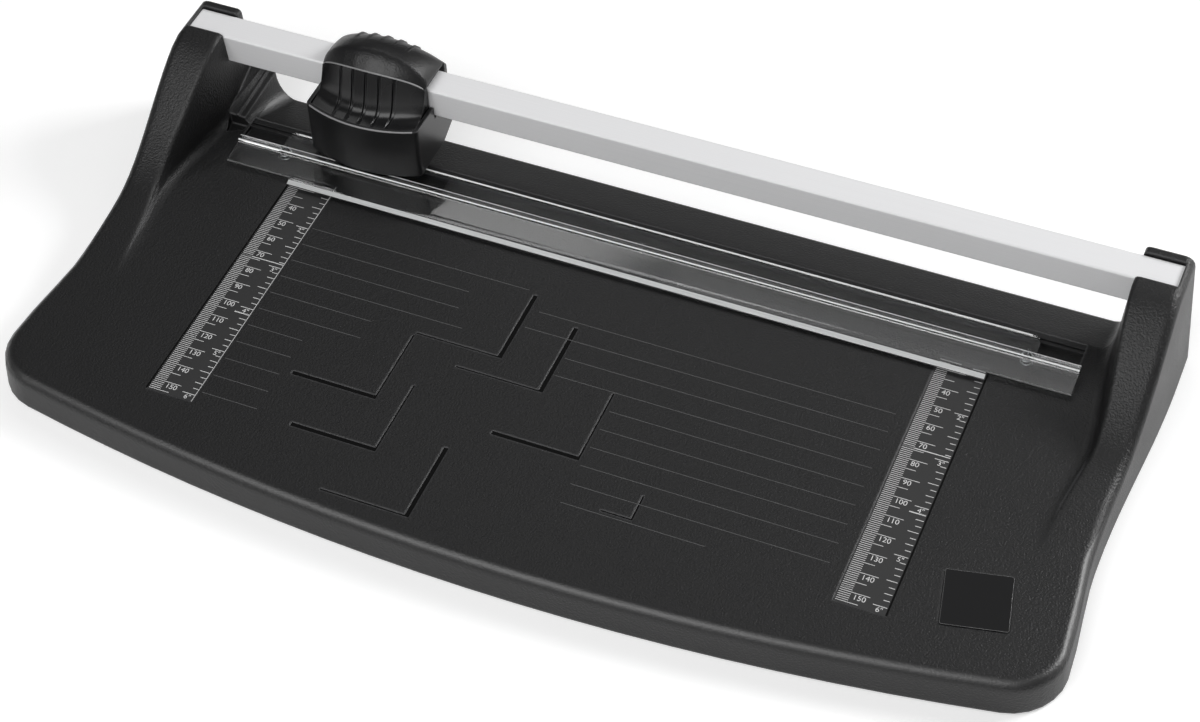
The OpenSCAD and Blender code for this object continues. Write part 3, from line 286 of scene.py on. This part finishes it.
# Table rim: the round between the table and its wall. It lies no higher than the table, and its
# slope, as the upward part of the normal, is between the flat table's and the steep wall's.
table_top, rim_fade = 17.0, 0.2
flat_slope, round_slope, steep_slope, wall_slope = 0.995, 0.93, 0.8, 0.5
rims, _, end = group_tree("table rim", [], [("Mask", "NodeSocketFloat")])
place, facing = rims.nodes.new("ShaderNodeTexCoord"), rims.nodes.new("ShaderNodeNewGeometry")
height, slope = rims.nodes.new("ShaderNodeSeparateXYZ"), rims.nodes.new("ShaderNodeSeparateXYZ")
rims.links.new(place.outputs["Object"], height.inputs[0])
rims.links.new(facing.outputs["Normal"], slope.inputs[0])
shares = []
for measure, none_at, full_at in (
        (height, (table_top + rim_fade) * mm, table_top * mm),
        (slope, flat_slope, round_slope),
        (slope, wall_slope, steep_slope)):
    share = rims.nodes.new("ShaderNodeMapRange")
    share.inputs["From Min"].default_value = none_at
    share.inputs["From Max"].default_value = full_at
    rims.links.new(measure.outputs["Z"], share.inputs["Value"])
    shares.append(share.outputs["Result"])
rim_mask = shares[0]
for share in shares[1:]:
    both = rims.nodes.new("ShaderNodeMath")
    both.operation = "MULTIPLY"
    rims.links.new(rim_mask, both.inputs[0])
    rims.links.new(share, both.inputs[1])
    rim_mask = both.outputs[0]
rims.links.new(rim_mask, end.inputs["Mask"])

pit_lift, gloss_drift = 1.35, 0.05


def black_plastic(name, dark, pale, gloss, shine, pitch, depth, edge,
                  zone=None, zone_gloss=0.0, polish=None):
    """Moulded black plastic: grain in the bump and gloss, edges a little paler, as wear and as a painted
    highlight.
    A zone is a mask: inside it the face is grained and duller, outside it nearly smooth.
    A polish is a mask too: inside it the face has a smoother skin over the grain."""
    material, tree, shader, join = new_material(name)
    shader.inputs["Specular IOR Level"].default_value = shine
    texture = use_group(tree, grain, Pitch=pitch)
    rim = use_group(tree, edges, Radius=edge)
    lifted = [pit_lift * v for v in dark]
    # Edges go paler: part wear, part painted highlight.
    sheen = tree.new("ShaderNodeMix")
    sheen.data_type = "RGBA"
    sheen.inputs["B"].default_value = (*pale, 1)
    join(blend_tones(tree, join, texture.outputs["Height"], dark, lifted), sheen.inputs["A"])
    join(rim.outputs["Mask"], sheen.inputs["Factor"])
    join(sheen.outputs["Result"], shader.inputs["Base Color"])
    height = texture.outputs["Height"]
    rough = blend_values(tree, join, texture.outputs["Drift"], gloss - gloss_drift, gloss + gloss_drift)
    if zone:
        area = use_group(tree, zone)
        deep, dull = tree.new("ShaderNodeMath"), tree.new("ShaderNodeMath")
        deep.operation, dull.operation = "MULTIPLY", "MULTIPLY_ADD"
        dull.inputs[1].default_value = zone_gloss
        join(height, deep.inputs[0])
        join(area.outputs["Mask"], deep.inputs[1])
        join(area.outputs["Mask"], dull.inputs[0])
        join(rough, dull.inputs[2])
        height, rough = deep.outputs[0], dull.outputs[0]
    if polish:
        area = use_group(tree, polish)
        shader.inputs["Coat Roughness"].default_value = 0.45
        join(area.outputs["Mask"], shader.inputs["Coat Weight"])
    join(rough, shader.inputs["Roughness"])
    bump = tree.new("ShaderNodeBump")
    bump.inputs["Strength"].default_value = 0.6
    bump.inputs["Distance"].default_value = depth
    join(height, bump.inputs["Height"])
    join(rim.outputs["Normal"], bump.inputs["Normal"])
    join(bump.outputs["Normal"], shader.inputs["Normal"])
    return material


base_plastic = black_plastic(
    "base black", dark=(0.005, 0.005, 0.0053), pale=(0.06, 0.06, 0.062), gloss=0.44, shine=0.5,
    pitch=0.0008, depth=0.0004, edge=0.0015, polish=rims)
soften("base_housing", angle=32)
dress("base_housing", base_plastic)

# Fine raised lines on the table, every ten millimetres in front of the cut, left and right of
# the format corners. They come out of the mould with the base; their paler black is a painted highlight,
# where they catch the light on top.
# Each is a distance from the cut and two places along it, from the left edge of the sheet.
cut_line, left_edge = 80.55, -157.2
line_w, line_h, line_root = 0.28, 0.07, 0.05
left_start, right_end = 22, 287
left_lines = [(50, 123), (60, 100), (70, 100), (80, 106), (90, 69), (100, 69)]
left_lines += [(deep, 47) for deep in range(110, 160, 10)]
right_lines = [(60, 132), (70, 130), (80, 152), (90, 152)]
right_lines += [(deep, 180) for deep in range(100, 150, 10)]
lines = [(deep, left_start, to_x) for deep, to_x in left_lines]
lines += [(deep, from_x, right_end) for deep, from_x in right_lines]
lines += [(150, 180, 240)]


def add_bar(bm, low, high):
    """Closed box between two corners, in millimetres."""
    size = [h - l for l, h in zip(low, high)]
    middle = [(l + h) / 2 for l, h in zip(low, high)]
    shape = Matrix.Translation([v * mm for v in middle]) @ Matrix.Diagonal([v * mm for v in size] + [1])
    bmesh.ops.create_cube(bm, size=1, matrix=shape)


def new_piece(name, bm, material, body):
    """Makes a mesh piece that rides on a body."""
    mesh = bpy.data.meshes.new(name)
    bm.to_mesh(mesh)
    bm.free()
    mesh.materials.append(material)
    piece = bpy.data.objects.new(name, mesh)
    scene.collection.objects.link(piece)
    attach(piece, body)
    return piece


line_sheen_plastic = black_plastic(
    "raised line", dark=(0.06, 0.06, 0.061), pale=(0.14, 0.14, 0.14), gloss=0.42, shine=0.4,
    pitch=0.0005, depth=0.00003, edge=0.0001)
bm = bmesh.new()
for deep, from_x, to_x in lines:
    y = cut_line - deep
    low = (left_edge + from_x, y - line_w / 2, table_top - line_root)
    high = (left_edge + to_x, y + line_w / 2, table_top + line_h)
    add_bar(bm, low, high)
new_piece("table_lines", bm, line_sheen_plastic, "base")

# The format corners: grooves moulded in the table where the corner of a sheet lies, most with one
# broad leg and one thin. Black bars in the grooves, up to just under the table, are painted shade for their
# deep floors.
# Each is a corner's place from the left edge and from the cut, and the widths of its two legs.
mark_broad, mark_thin, mark_leg, mark_short = 1.9, 0.7, 37.5, 13.0
mark_fill, mark_clear, mark_floor = 0.2, 0.01, 1.35
marks = [(127, 89, mark_thin, mark_broad, mark_leg), (150, 100, mark_thin, mark_broad, mark_leg),
         (89, 127, mark_broad, mark_thin, mark_leg), (101, 152, mark_broad, mark_thin, mark_leg),
         (178, 127, mark_broad, mark_thin, mark_leg), (127, 178, mark_thin, mark_broad, mark_leg),
         (209, 148, mark_thin, mark_thin, mark_short)]
# Nearly black and matt: painted shade, in the grooves and in the gaps by the rulers.
painted_shade_black = black_plastic(
    "painted shade black", dark=(0.002, 0.002, 0.002), pale=(0.003, 0.003, 0.003), gloss=0.7, shine=0.1,
    pitch=0.0005, depth=0.00002, edge=0.0001)
bm = bmesh.new()
for across_x, deep, along_w, to_w, leg in marks:
    x, y = left_edge + across_x, cut_line - deep
    z0, z1 = table_top - mark_floor, table_top - mark_fill
    half_a, half_t = along_w / 2 - mark_clear, to_w / 2 - mark_clear
    add_bar(bm, (x - leg + mark_clear, y - half_a, z0), (x - half_t, y + half_a, z1))
    add_bar(bm, (x - half_t, y - half_a, z0), (x + half_t, y - along_w / 2 + leg - mark_clear, z1))
new_piece("mark_floor_shade", bm, painted_shade_black, "base")

# The feet: four round pads of black rubber with a matt face, glued into shallow pockets under the
# base. They keep the trimmer in its place while the head is pushed along.
rubber_dark, rubber_pale = (0.03, 0.03, 0.031), (0.05, 0.05, 0.05)
rubber, tree, shader, join = new_material("foot rubber")
texture = use_group(tree, grain, Pitch=0.0004)
tone = blend_tones(tree, join, texture.outputs["Drift"], rubber_dark, rubber_pale)
bump = tree.new("ShaderNodeBump")
bump.inputs["Distance"].default_value = 0.00006
shader.inputs["Roughness"].default_value = 0.8
join(tone, shader.inputs["Base Color"])
join(texture.outputs["Height"], bump.inputs["Height"])
join(bump.outputs["Normal"], shader.inputs["Normal"])
dress("rubber_feet", rubber)

# The rail: a square tube of extruded aluminium, satin anodised, with faint lines along its
# length from the die. It lies in the open seats of the towers.
streak, start, end = group_tree(
    "drawn lines", [("Across", 2500.0), ("Along", 6.0)],
    [("Lines", "NodeSocketFloat"), ("Haze", "NodeSocketFloat")])
place = streak.nodes.new("ShaderNodeTexCoord")
squeeze = streak.nodes.new("ShaderNodeVectorMath")
squeeze.operation = "MULTIPLY"
scale = streak.nodes.new("ShaderNodeCombineXYZ")
fine = streak.nodes.new("ShaderNodeTexNoise")
fine.inputs["Scale"].default_value = 1.0
fine.inputs["Detail"].default_value = 4.0
haze = streak.nodes.new("ShaderNodeTexNoise")
haze.inputs["Scale"].default_value = 55.0
streak.links.new(start.outputs["Along"], scale.inputs["X"])
streak.links.new(start.outputs["Across"], scale.inputs["Y"])
streak.links.new(start.outputs["Across"], scale.inputs["Z"])
streak.links.new(place.outputs["Object"], squeeze.inputs[0])
streak.links.new(scale.outputs["Vector"], squeeze.inputs[1])
streak.links.new(squeeze.outputs["Vector"], fine.inputs["Vector"])
streak.links.new(place.outputs["Object"], haze.inputs["Vector"])
streak.links.new(fine.outputs["Fac"], end.inputs["Lines"])
streak.links.new(haze.outputs["Fac"], end.inputs["Haze"])

haze_gloss, haze_dull = 0.05, 0.08


def drawn_metal(name, pale, dark, gloss, bare, across, along, depth, edge):
    """Bare or anodised metal with lines along its length."""
    material, tree, shader, join = new_material(name)
    lines = use_group(tree, streak, Across=across, Along=along)
    rim = use_group(tree, edges, Radius=edge)
    tone = blend_tones(tree, join, lines.outputs["Lines"], dark, pale)
    rough = blend_values(tree, join, lines.outputs["Haze"], gloss - haze_gloss, gloss + haze_dull)
    bump = tree.new("ShaderNodeBump")
    bump.inputs["Strength"].default_value = 0.35
    bump.inputs["Distance"].default_value = depth
    shader.inputs["Metallic"].default_value = bare
    join(tone, shader.inputs["Base Color"])
    join(rough, shader.inputs["Roughness"])
    join(lines.outputs["Lines"], bump.inputs["Height"])
    join(rim.outputs["Normal"], bump.inputs["Normal"])
    join(bump.outputs["Normal"], shader.inputs["Normal"])
    return material


rail_metal = drawn_metal(
    "rail aluminium", pale=(0.85, 0.85, 0.86), dark=(0.79, 0.79, 0.80), gloss=0.45, bare=0.1,
    across=2600, along=5, depth=0.00002, edge=0.0004)
soften("guide_rail", angle=30)
dress("guide_rail", rail_metal)

# The plugs: two blocks of dark nylon pressed into the rail's ends. They take the self-tapping
# steel screws that come up through the towers and hold the rail down.
nylon = black_plastic(
    "dark nylon", dark=(0.035, 0.035, 0.037), pale=(0.09, 0.09, 0.09), gloss=0.45, shine=0.4,
    pitch=0.0005, depth=0.00004, edge=0.0003)
dress("rail_plugs", nylon)
screw_metal = drawn_metal(
    "screw steel", pale=(0.72, 0.72, 0.74), dark=(0.58, 0.58, 0.60), gloss=0.3, bare=1.0,
    across=1800, along=900, depth=0.00001, edge=0.0002)
soften("rail_screws", angle=30)
dress("rail_screws", screw_metal)

# The cutting strip: a hard plastic strip let into the trough under the blade, grooved along
# the cut, pressed in from above.
strip_plastic = black_plastic(
    "strip plastic", dark=(0.010, 0.010, 0.0105), pale=(0.02, 0.02, 0.021), gloss=0.42, shine=0.5,
    pitch=0.0006, depth=0.00006, edge=0.0002)
dress("cutting_strip", strip_plastic)

# Two ruler strips let into the table, black film with white printing: millimetres along the
# left edge, eighths of an inch along the right one, numbers upright to the user.
film_dark, film_pale, film_rough = (0.010, 0.010, 0.0105), (0.016, 0.016, 0.0165), (0.34, 0.46)
film, tree, shader, join = new_material("ruler black")
texture = use_group(tree, grain, Pitch=0.0005)
tone = blend_tones(tree, join, texture.outputs["Height"], film_dark, film_pale)
shader.inputs["Specular IOR Level"].default_value = 0.6
join(tone, shader.inputs["Base Color"])
join(blend_values(tree, join, texture.outputs["Drift"], *film_rough), shader.inputs["Roughness"])
dress("left_ruler", film)
dress("right_ruler", film)

ink_full, ink_thin = (0.80, 0.80, 0.80), (0.56, 0.56, 0.56)
ink, tree, shader, join = new_material("white print")
texture = use_group(tree, grain, Pitch=0.0003)
tone = blend_tones(tree, join, texture.outputs["Height"], ink_full, ink_thin)
shader.inputs["Roughness"].default_value = 0.6
join(tone, shader.inputs["Base Color"])

# Sizes of the print in millimetres. A tick's reach goes with the parts that its number divides by.
print_t, print_sink = 0.02, 0.001
ruler_width, print_margin = 20.4, 0.4
left_side, right_side = print_margin, ruler_width - print_margin
first_mm, last_mm, mm_tick_w = 25, 155, 0.26
mm_reaches = ((10, 12.6), (5, 9.4), (1, 5.2))
mm_number_from, mm_number_to, mm_number_step = 40, 150, 10
mm_number_x, mm_number_drop, mm_number_h = 6.3, 3.0, 2.5
inch_mm, eighths = 25.4, 8
first_inch, last_inch, inch_tick_w = 1, 6, 0.3
inch_reaches = ((8, 5.6), (4, 4.4), (2, 3.2), (1, 2.4))
inch_number_x, inch_number_drop, inch_number_h = 4.4, 2.9, 2.4
edge_line_w, capital_share = 0.28, 0.72

# Lines at the sides of common sheets: distance from the cut, two places across, and width
format_lines = ((74, left_side, right_side, 0.4), (105, 13.2, right_side, 0.5), (148, left_side, 5.2, 0.5))


def add_number(bm, text, x, y, z, height):
    """Printed number with its lower left corner at a place, in millimetres."""
    curve = bpy.data.curves.new("number", "FONT")
    curve.body = text
    curve.size = height * mm / capital_share
    curve.extrude = print_t * mm / 2
    letter = bpy.data.objects.new("number", curve)
    scene.collection.objects.link(letter)
    bpy.context.view_layer.update()
    drawn = letter.evaluated_get(bpy.context.evaluated_depsgraph_get())
    mesh = bpy.data.meshes.new_from_object(drawn)
    mesh.transform(Matrix.Translation((x * mm, y * mm, (z + print_t / 2) * mm)))
    bm.from_mesh(mesh)
    bpy.data.objects.remove(letter)
    bpy.data.curves.remove(curve)
    bpy.data.meshes.remove(mesh)


def add_tick(bm, left, top, deep, from_x, to_x, width):
    """Printed line across a ruler, at a distance from the cut."""
    y = cut_line - deep
    add_bar(bm, (left + from_x, y - width / 2, top), (left + to_x, y + width / 2, top + print_t))


def tick_reach(count, reaches):
    """Length of a tick: the first in the list whose part divides its number."""
    return next(reach for part, reach in reaches if count % part == 0)


for ruler in ("left_ruler", "right_ruler"):
    low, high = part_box(ruler)
    left, top = low[0] / mm, high[2] / mm - print_sink
    bm = bmesh.new()
    for deep in range(first_mm, last_mm + 1):
        add_tick(bm, left, top, deep, left_side, tick_reach(deep, mm_reaches), mm_tick_w)
    for deep in range(mm_number_from, mm_number_to + 1, mm_number_step):
        add_number(bm, str(deep), left + mm_number_x, cut_line - deep - mm_number_drop, top, mm_number_h)
    for eighth in range(first_inch * eighths, last_inch * eighths + 1):
        inner = right_side - tick_reach(eighth, inch_reaches)
        add_tick(bm, left, top, eighth * inch_mm / eighths, inner, right_side, inch_tick_w)
    for inch in range(first_inch + 1, last_inch + 1):
        x, y = left + ruler_width - inch_number_x, cut_line - inch * inch_mm - inch_number_drop
        add_number(bm, str(inch) + '"', x, y, top, inch_number_h)
    for deep, from_x, to_x, width in format_lines:
        add_tick(bm, left, top, deep, from_x, to_x, width)
    if ruler == "left_ruler":
        edge_low = (left + ruler_width - edge_line_w, low[1] / mm, top)
        add_bar(bm, edge_low, (left + ruler_width, high[1] / mm, top + print_t))
    new_piece(ruler.replace("_ruler", "_print"), bm, ink, "base")

# The gaps beside the rulers: their pockets are moulded a little wider than the strips, so a
# narrow slot stays open at each ruler's outer edge. A black strip laid along it on the table is painted
# shade.
gap_clear, gap_w, gap_root = 0.02, 0.8, 0.05
bm = bmesh.new()
for ruler, edge, side in (("left_ruler", 0, -1), ("right_ruler", 1, 1)):
    low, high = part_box(ruler)
    x = (low, high)[edge][0] / mm + side * gap_clear
    x0, x1 = sorted((x, x + side * gap_w))
    add_bar(bm, (x0, low[1] / mm, table_top - gap_root), (x1, high[1] / mm, table_top + print_t))
new_piece("ruler_gap_shade", bm, painted_shade_black, "base")

# The badge plate: a small square of glossy black acrylic in its pocket at the front right,
# left bare, with a polished edge. The pale grey line on that edge is a painted highlight.
badge_black, badge_edge_sheen, badge_rough = (0.006, 0.006, 0.0065), (0.25, 0.25, 0.25), (0.08, 0.16)
gloss, tree, shader, join = new_material("badge gloss")
texture = use_group(tree, grain, Pitch=0.004)
rim = use_group(tree, edges, Radius=0.0004)
tone = blend_tones(tree, join, rim.outputs["Mask"], badge_black, badge_edge_sheen)
shader.inputs["Specular IOR Level"].default_value = 0.16
join(tone, shader.inputs["Base Color"])
join(blend_values(tree, join, texture.outputs["Drift"], *badge_rough), shader.inputs["Roughness"])
join(rim.outputs["Normal"], shader.inputs["Normal"])
dress("badge_plate", gloss)

# The paper clamp: a bar moulded in clear polycarbonate, with a raised rib and a thin rear wing. Two
# pins guide it in the table, and it floats on springs until it is pressed onto the sheet.
clear_tint, clear_rough = (0.96, 0.97, 0.97), (0.06, 0.1)
clear, tree, shader, join = new_material("clear plastic")
texture = use_group(tree, streak, Across=900.0, Along=4.0)
shader.inputs["Base Color"].default_value = (*clear_tint, 1)
shader.inputs["IOR"].default_value = 1.58
shader.inputs["Transmission Weight"].default_value = 1.0
join(blend_values(tree, join, texture.outputs["Haze"], *clear_rough), shader.inputs["Roughness"])
soften("paper_clamp", angle=30)
dress("paper_clamp", clear)

# The bevel of the clamp's front lip is left ground and unpolished, so it shows as a pale band
# from ruler to ruler. It is a thin skin on the moulded bar.
ground_dark, ground_pale, ground_rough = (0.42, 0.43, 0.43), (0.74, 0.75, 0.75), (0.3, 0.5)
ground, tree, shader, join = new_material("ground edge")
texture = use_group(tree, streak, Across=2400.0, Along=60.0)
tone = blend_tones(tree, join, texture.outputs["Lines"], ground_dark, ground_pale)
bump = tree.new("ShaderNodeBump")
bump.inputs["Distance"].default_value = 0.00003
join(tone, shader.inputs["Base Color"])
join(blend_values(tree, join, texture.outputs["Haze"], *ground_rough), shader.inputs["Roughness"])
join(texture.outputs["Lines"], bump.inputs["Height"])
join(bump.outputs["Normal"], shader.inputs["Normal"])


def add_sweep(bm, sections, smooth=False):
    """Closed skin over a row of like cross-sections, whose points are in metres."""
    rings = [[bm.verts.new(point) for point in section] for section in sections]
    count = len(rings[0])
    for one, two in zip(rings, rings[1:]):
        for k in range(count):
            wall = bm.faces.new((one[k], one[(k + 1) % count], two[(k + 1) % count], two[k]))
            wall.smooth = smooth
    bm.faces.new(rings[0][::-1])
    bm.faces.new(rings[-1])
    bmesh.ops.recalc_face_normals(bm, faces=bm.faces)


lip_bevel, bevel_high, bevel_low, lip_skin = 2.0, 1.1, 0.3, 0.03
clamp_under, lip_cuts = 18.5, 40
lip_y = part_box("paper_clamp")[0][1] / mm
lip_ends = (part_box("left_ruler")[0][0] / mm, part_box("right_ruler")[1][0] / mm)
lip_out = Vector((bevel_low - bevel_high, lip_bevel)).normalized() * lip_skin
bevel = [(lip_y + lip_bevel, clamp_under + bevel_high), (lip_y, clamp_under + bevel_low)]
band = [(y + lip_out[0], z + lip_out[1]) for y, z in bevel]
band += [(y - lip_out[0], z - lip_out[1]) for y, z in bevel[::-1]]
sections = []
for i in range(lip_cuts + 1):
    x = lip_ends[0] + (lip_ends[1] - lip_ends[0]) * i / lip_cuts
    sections.append([(x * mm, y * mm, z * mm) for y, z in band])
bm = bmesh.new()
add_sweep(bm, sections)
new_piece("clamp_lip", bm, ground, "clamp")

# The crests of the rib and of the rear bead each show as a bright line along the bar, which
# is a painted highlight. They are thin pale skins on the round edges.
crest_dark, crest_pale = (0.80, 0.81, 0.81), (0.95, 0.96, 0.96)
sheen, tree, shader, join = new_material("rubbed crest")
texture = use_group(tree, streak, Across=3000.0, Along=40.0)
tone = blend_tones(tree, join, texture.outputs["Lines"], crest_dark, crest_pale)
shader.inputs["Roughness"].default_value = 0.55
shader.inputs["Specular IOR Level"].default_value = 0.15
join(tone, shader.inputs["Base Color"])
crest_skin, crest_steps = 0.02, 4
rib_front, rib_back, rib_top, rib_round = 64.55, 68.15, 22.0, 0.9
bead_y, bead_z, bead_round, bead_stop = 78.2, 19.75, 0.75, 4.0
half_bar, half_wing, bar_shift = 190.3, 171.25, 1.8

# Each crest: the middle and radius of its round, two angles in degrees, and half its length
crests = [
    (rib_front + rib_round, rib_top - rib_round, rib_round, 112, 150, half_bar),
    (rib_back - rib_round, rib_top - rib_round, rib_round, 62, 92, half_bar),
    (bead_y, bead_z, bead_round, 70, 125, half_wing - bead_stop)]
bm = bmesh.new()
for y0, z0, radius, turn_from, turn_to, half in crests:
    step_turn = (turn_to - turn_from) / crest_steps
    turns = [math.radians(turn_from + step_turn * k) for k in range(crest_steps + 1)]
    outer, inner = radius + crest_skin, radius - crest_skin
    ring = [(y0 + outer * math.cos(t), z0 + outer * math.sin(t)) for t in turns]
    ring += [(y0 + inner * math.cos(t), z0 + inner * math.sin(t)) for t in turns[::-1]]
    ends = (bar_shift - half, bar_shift + half)
    add_sweep(bm, [[(x * mm, y * mm, z * mm) for y, z in ring] for x in ends])
new_piece("clamp_crests", bm, sheen, "clamp")

# Springs of the clamp and of the head: spring wire wound in four turns, closed at both ends,
# standing in their pockets. Two steel screws from
# under the base keep the clamp on its springs.
spring_metal = drawn_metal(
    "spring steel", pale=(0.62, 0.63, 0.65), dark=(0.46, 0.47, 0.49), gloss=0.28, bare=1.0,
    across=2200, along=2200, depth=0.00001, edge=0.0001)
spring_turns, closed_turn = 4, 0.5
turn_steps, wire_sides = 36, 12
clamp_wire, clamp_travel = 0.0006, 0.0012
press_wire, press_travel = 0.0007, 0.002


def wind_spring(name, node, side, wire, turns, body):
    """Smooth coil in the place of one CAD spring of a pair."""
    low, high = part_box(node)
    middle = (low[0] + high[0]) / 2
    places = [v.co.x for v in nodes[node].data.vertices if (v.co.x - middle) * side > 0]
    x0, x1 = min(places), max(places)
    centre = Vector(((x0 + x1) / 2, (low[1] + high[1]) / 2, low[2]))
    length = high[2] - low[2]
    mean, rise = (x1 - x0) / 2 - wire / 2, length - wire
    path = []
    for i in range(turns * turn_steps + 1):
        t = i / turn_steps
        level = min(max((t - closed_turn) / (turns - 2 * closed_turn), 0), 1)
        x, y = mean * math.cos(t * math.tau), mean * math.sin(t * math.tau)
        path.append(centre + Vector((x, y, wire / 2 + rise * level)))
    round_wire = [k * math.tau / wire_sides for k in range(wire_sides)]
    sections = []
    for i, point in enumerate(path):
        along = (path[min(i + 1, len(path) - 1)] - path[max(i - 1, 0)]).normalized()
        side_way = along.cross(Vector((0, 0, 1))).normalized()
        up_way = side_way.cross(along)
        ring = [math.cos(t) * side_way + math.sin(t) * up_way for t in round_wire]
        sections.append([point + wire / 2 * way for way in ring])
    bm = bmesh.new()
    add_sweep(bm, sections, smooth=True)
    spring = new_piece(name, bm, spring_metal, body)
    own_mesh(spring)
    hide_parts(node)


for side, word in ((-1, "left"), (1, "right")):
    wind_spring("clamp_spring_" + word, "clamp_springs", side, clamp_wire, spring_turns,
                "base")
    wind_spring("press_spring_" + word, "press_springs", side, press_wire, spring_turns,
                "carriage")
soften("clamp_screws", angle=30)
dress("clamp_screws", screw_metal)

# The slider: a nylon sleeve that runs on the rail, with two guides in front for the blade
# carrier. It is hidden in the head.
dress("slider_block", nylon)

# The lower shell of the head: a hollow moulding in black ABS with a satin face. It goes round the
# sleeve and is fixed to it with two steel screws from below.
head_plastic = black_plastic(
    "head black", dark=(0.006, 0.006, 0.0064), pale=(0.07, 0.07, 0.072), gloss=0.3, shine=0.55,
    pitch=0.0005, depth=0.00005, edge=0.0006)
soften("head_body", angle=30)
dress("head_body", head_plastic)
soften("body_screws", angle=30)
dress("body_screws", screw_metal)

# The grip cap: the part that the hand pushes down, a domed shell with five finger grooves in
# front and ribs behind, in the same black ABS with a slightly coarser face.
head_mid, cap_half, ridge_y, ridge_bow, ridge_fade = -129.0, 24.4, 80.05, 6.0, 1.0

# Dome side: a mask of the cap behind its ridge, which bows back towards both ends
dome, _, end = group_tree("dome side", [], [("Mask", "NodeSocketFloat")])
place, parts = dome.nodes.new("ShaderNodeTexCoord"), dome.nodes.new("ShaderNodeSeparateXYZ")
dome.links.new(place.outputs["Object"], parts.inputs[0])
last = parts.outputs["X"]
for action, amount in (
        ("SUBTRACT", head_mid * mm), ("DIVIDE", cap_half * mm), ("POWER", 2.0), ("MULTIPLY", ridge_bow * mm)):
    step = dome.nodes.new("ShaderNodeMath")
    step.operation = action
    step.inputs[1].default_value = amount
    dome.links.new(last, step.inputs[0])
    last = step.outputs[0]
behind = dome.nodes.new("ShaderNodeMath")
behind.operation = "SUBTRACT"
dome.links.new(parts.outputs["Y"], behind.inputs[0])
dome.links.new(last, behind.inputs[1])
fade = dome.nodes.new("ShaderNodeMapRange")
fade.inputs["From Min"].default_value = ridge_y * mm
fade.inputs["From Max"].default_value = (ridge_y + ridge_fade) * mm
dome.links.new(behind.outputs[0], fade.inputs["Value"])
dome.links.new(fade.outputs["Result"], end.inputs["Mask"])

cap_plastic = black_plastic(
    "cap black", dark=(0.005, 0.005, 0.0054), pale=(0.05, 0.05, 0.052), gloss=0.27, shine=0.5,
    pitch=0.0007, depth=0.0002, edge=0.0004, zone=dome, zone_gloss=0.12)
soften("grip_cap", angle=24)
dress("grip_cap", cap_plastic)

# Two edges of the head show as bright lines, which are a painted highlight: the ridge over the finger
# grooves, and the front rim of the shell, which the cap slides past. Both are thin pale skins on the black
# ABS.
edge_highlight_plastic = black_plastic(
    "rubbed edge", dark=(0.22, 0.22, 0.223), pale=(0.3, 0.3, 0.3), gloss=0.28, shine=0.6,
    pitch=0.0004, depth=0.00002, edge=0.0001)
foot_lift, edge_steps = 0.5, 24
arch_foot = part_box("guide_rail")[1][2] / mm + foot_lift
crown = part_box("grip_cap")[1][2] / mm
ridge_half, ridge_fall, ridge_sink, arch_share = 23.6, 4.6, 1.0, 0.97
rim_half, rim_top, rim_front, rim_arc = 24.5, 48.0, 65.55, 61.52

# Cross-sections of the two skins, as steps back and up from the edge's line
ridge_section = ((-0.1, -0.35), (0.0, 0.03), (0.6, -0.07), (0.4, -0.4))
rim_section = ((-0.02, -0.4), (-0.02, 0.02), (0.7, 0.02), (0.7, -0.4))
ridge_path, rim_path = [], []
for i in range(2 * edge_steps + 1):
    share = i / edge_steps - 1
    x = share * ridge_half
    arch = math.sqrt(1 - (arch_share * x / cap_half) ** 2)
    y = ridge_y + ridge_bow * (x / cap_half) ** 2
    z = arch_foot + (crown - arch_foot - ridge_fall) * arch - ridge_sink
    ridge_path.append([(x, y + dy, z + dz) for dy, dz in ridge_section])
    x = share * rim_half
    y = rim_front + rim_arc - math.sqrt(rim_arc ** 2 - x * x)
    rim_path.append([(x, y + dy, rim_top + dz) for dy, dz in rim_section])
for name, path, body, slot in (
        ("cap_ridge", ridge_path, "press", "cap_black"), ("shell_rim", rim_path, "carriage", "head_black")):
    bm = bmesh.new()
    add_sweep(bm, [[((head_mid + x) * mm, y * mm, z * mm) for x, y, z in ring] for ring in path])
    new_piece(name, bm, edge_highlight_plastic, body)

# The carrier: a nylon bracket that hangs from the cap on two steel screws and goes down with it.
# A riveted steel axle in it holds the blade, and a spring clip keeps the blade on the axle.
dress("blade_carrier", nylon)
soften("carrier_screws", angle=30)
dress("carrier_screws", screw_metal)
soften("blade_axle", angle=30)
dress("blade_axle", screw_metal)
dress("axle_clip", spring_metal)

# The round blade: a disc of hardened steel, ground to a bevel on both faces. A hub of pale nylon
# in its middle lets it turn freely on the axle.
blade_metal = drawn_metal(
    "blade steel", pale=(0.74, 0.75, 0.77), dark=(0.62, 0.63, 0.65), gloss=0.22, bare=1.0,
    across=1500, along=1500, depth=0.00001, edge=0.0001)
soften("round_blade", angle=20)
dress("round_blade", blade_metal)
hub_nylon = black_plastic(
    "hub nylon", dark=(0.62, 0.62, 0.60), pale=(0.75, 0.75, 0.74), gloss=0.45, shine=0.5,
    pitch=0.0005, depth=0.00003, edge=0.0002)
dress("blade_hub", hub_nylon)
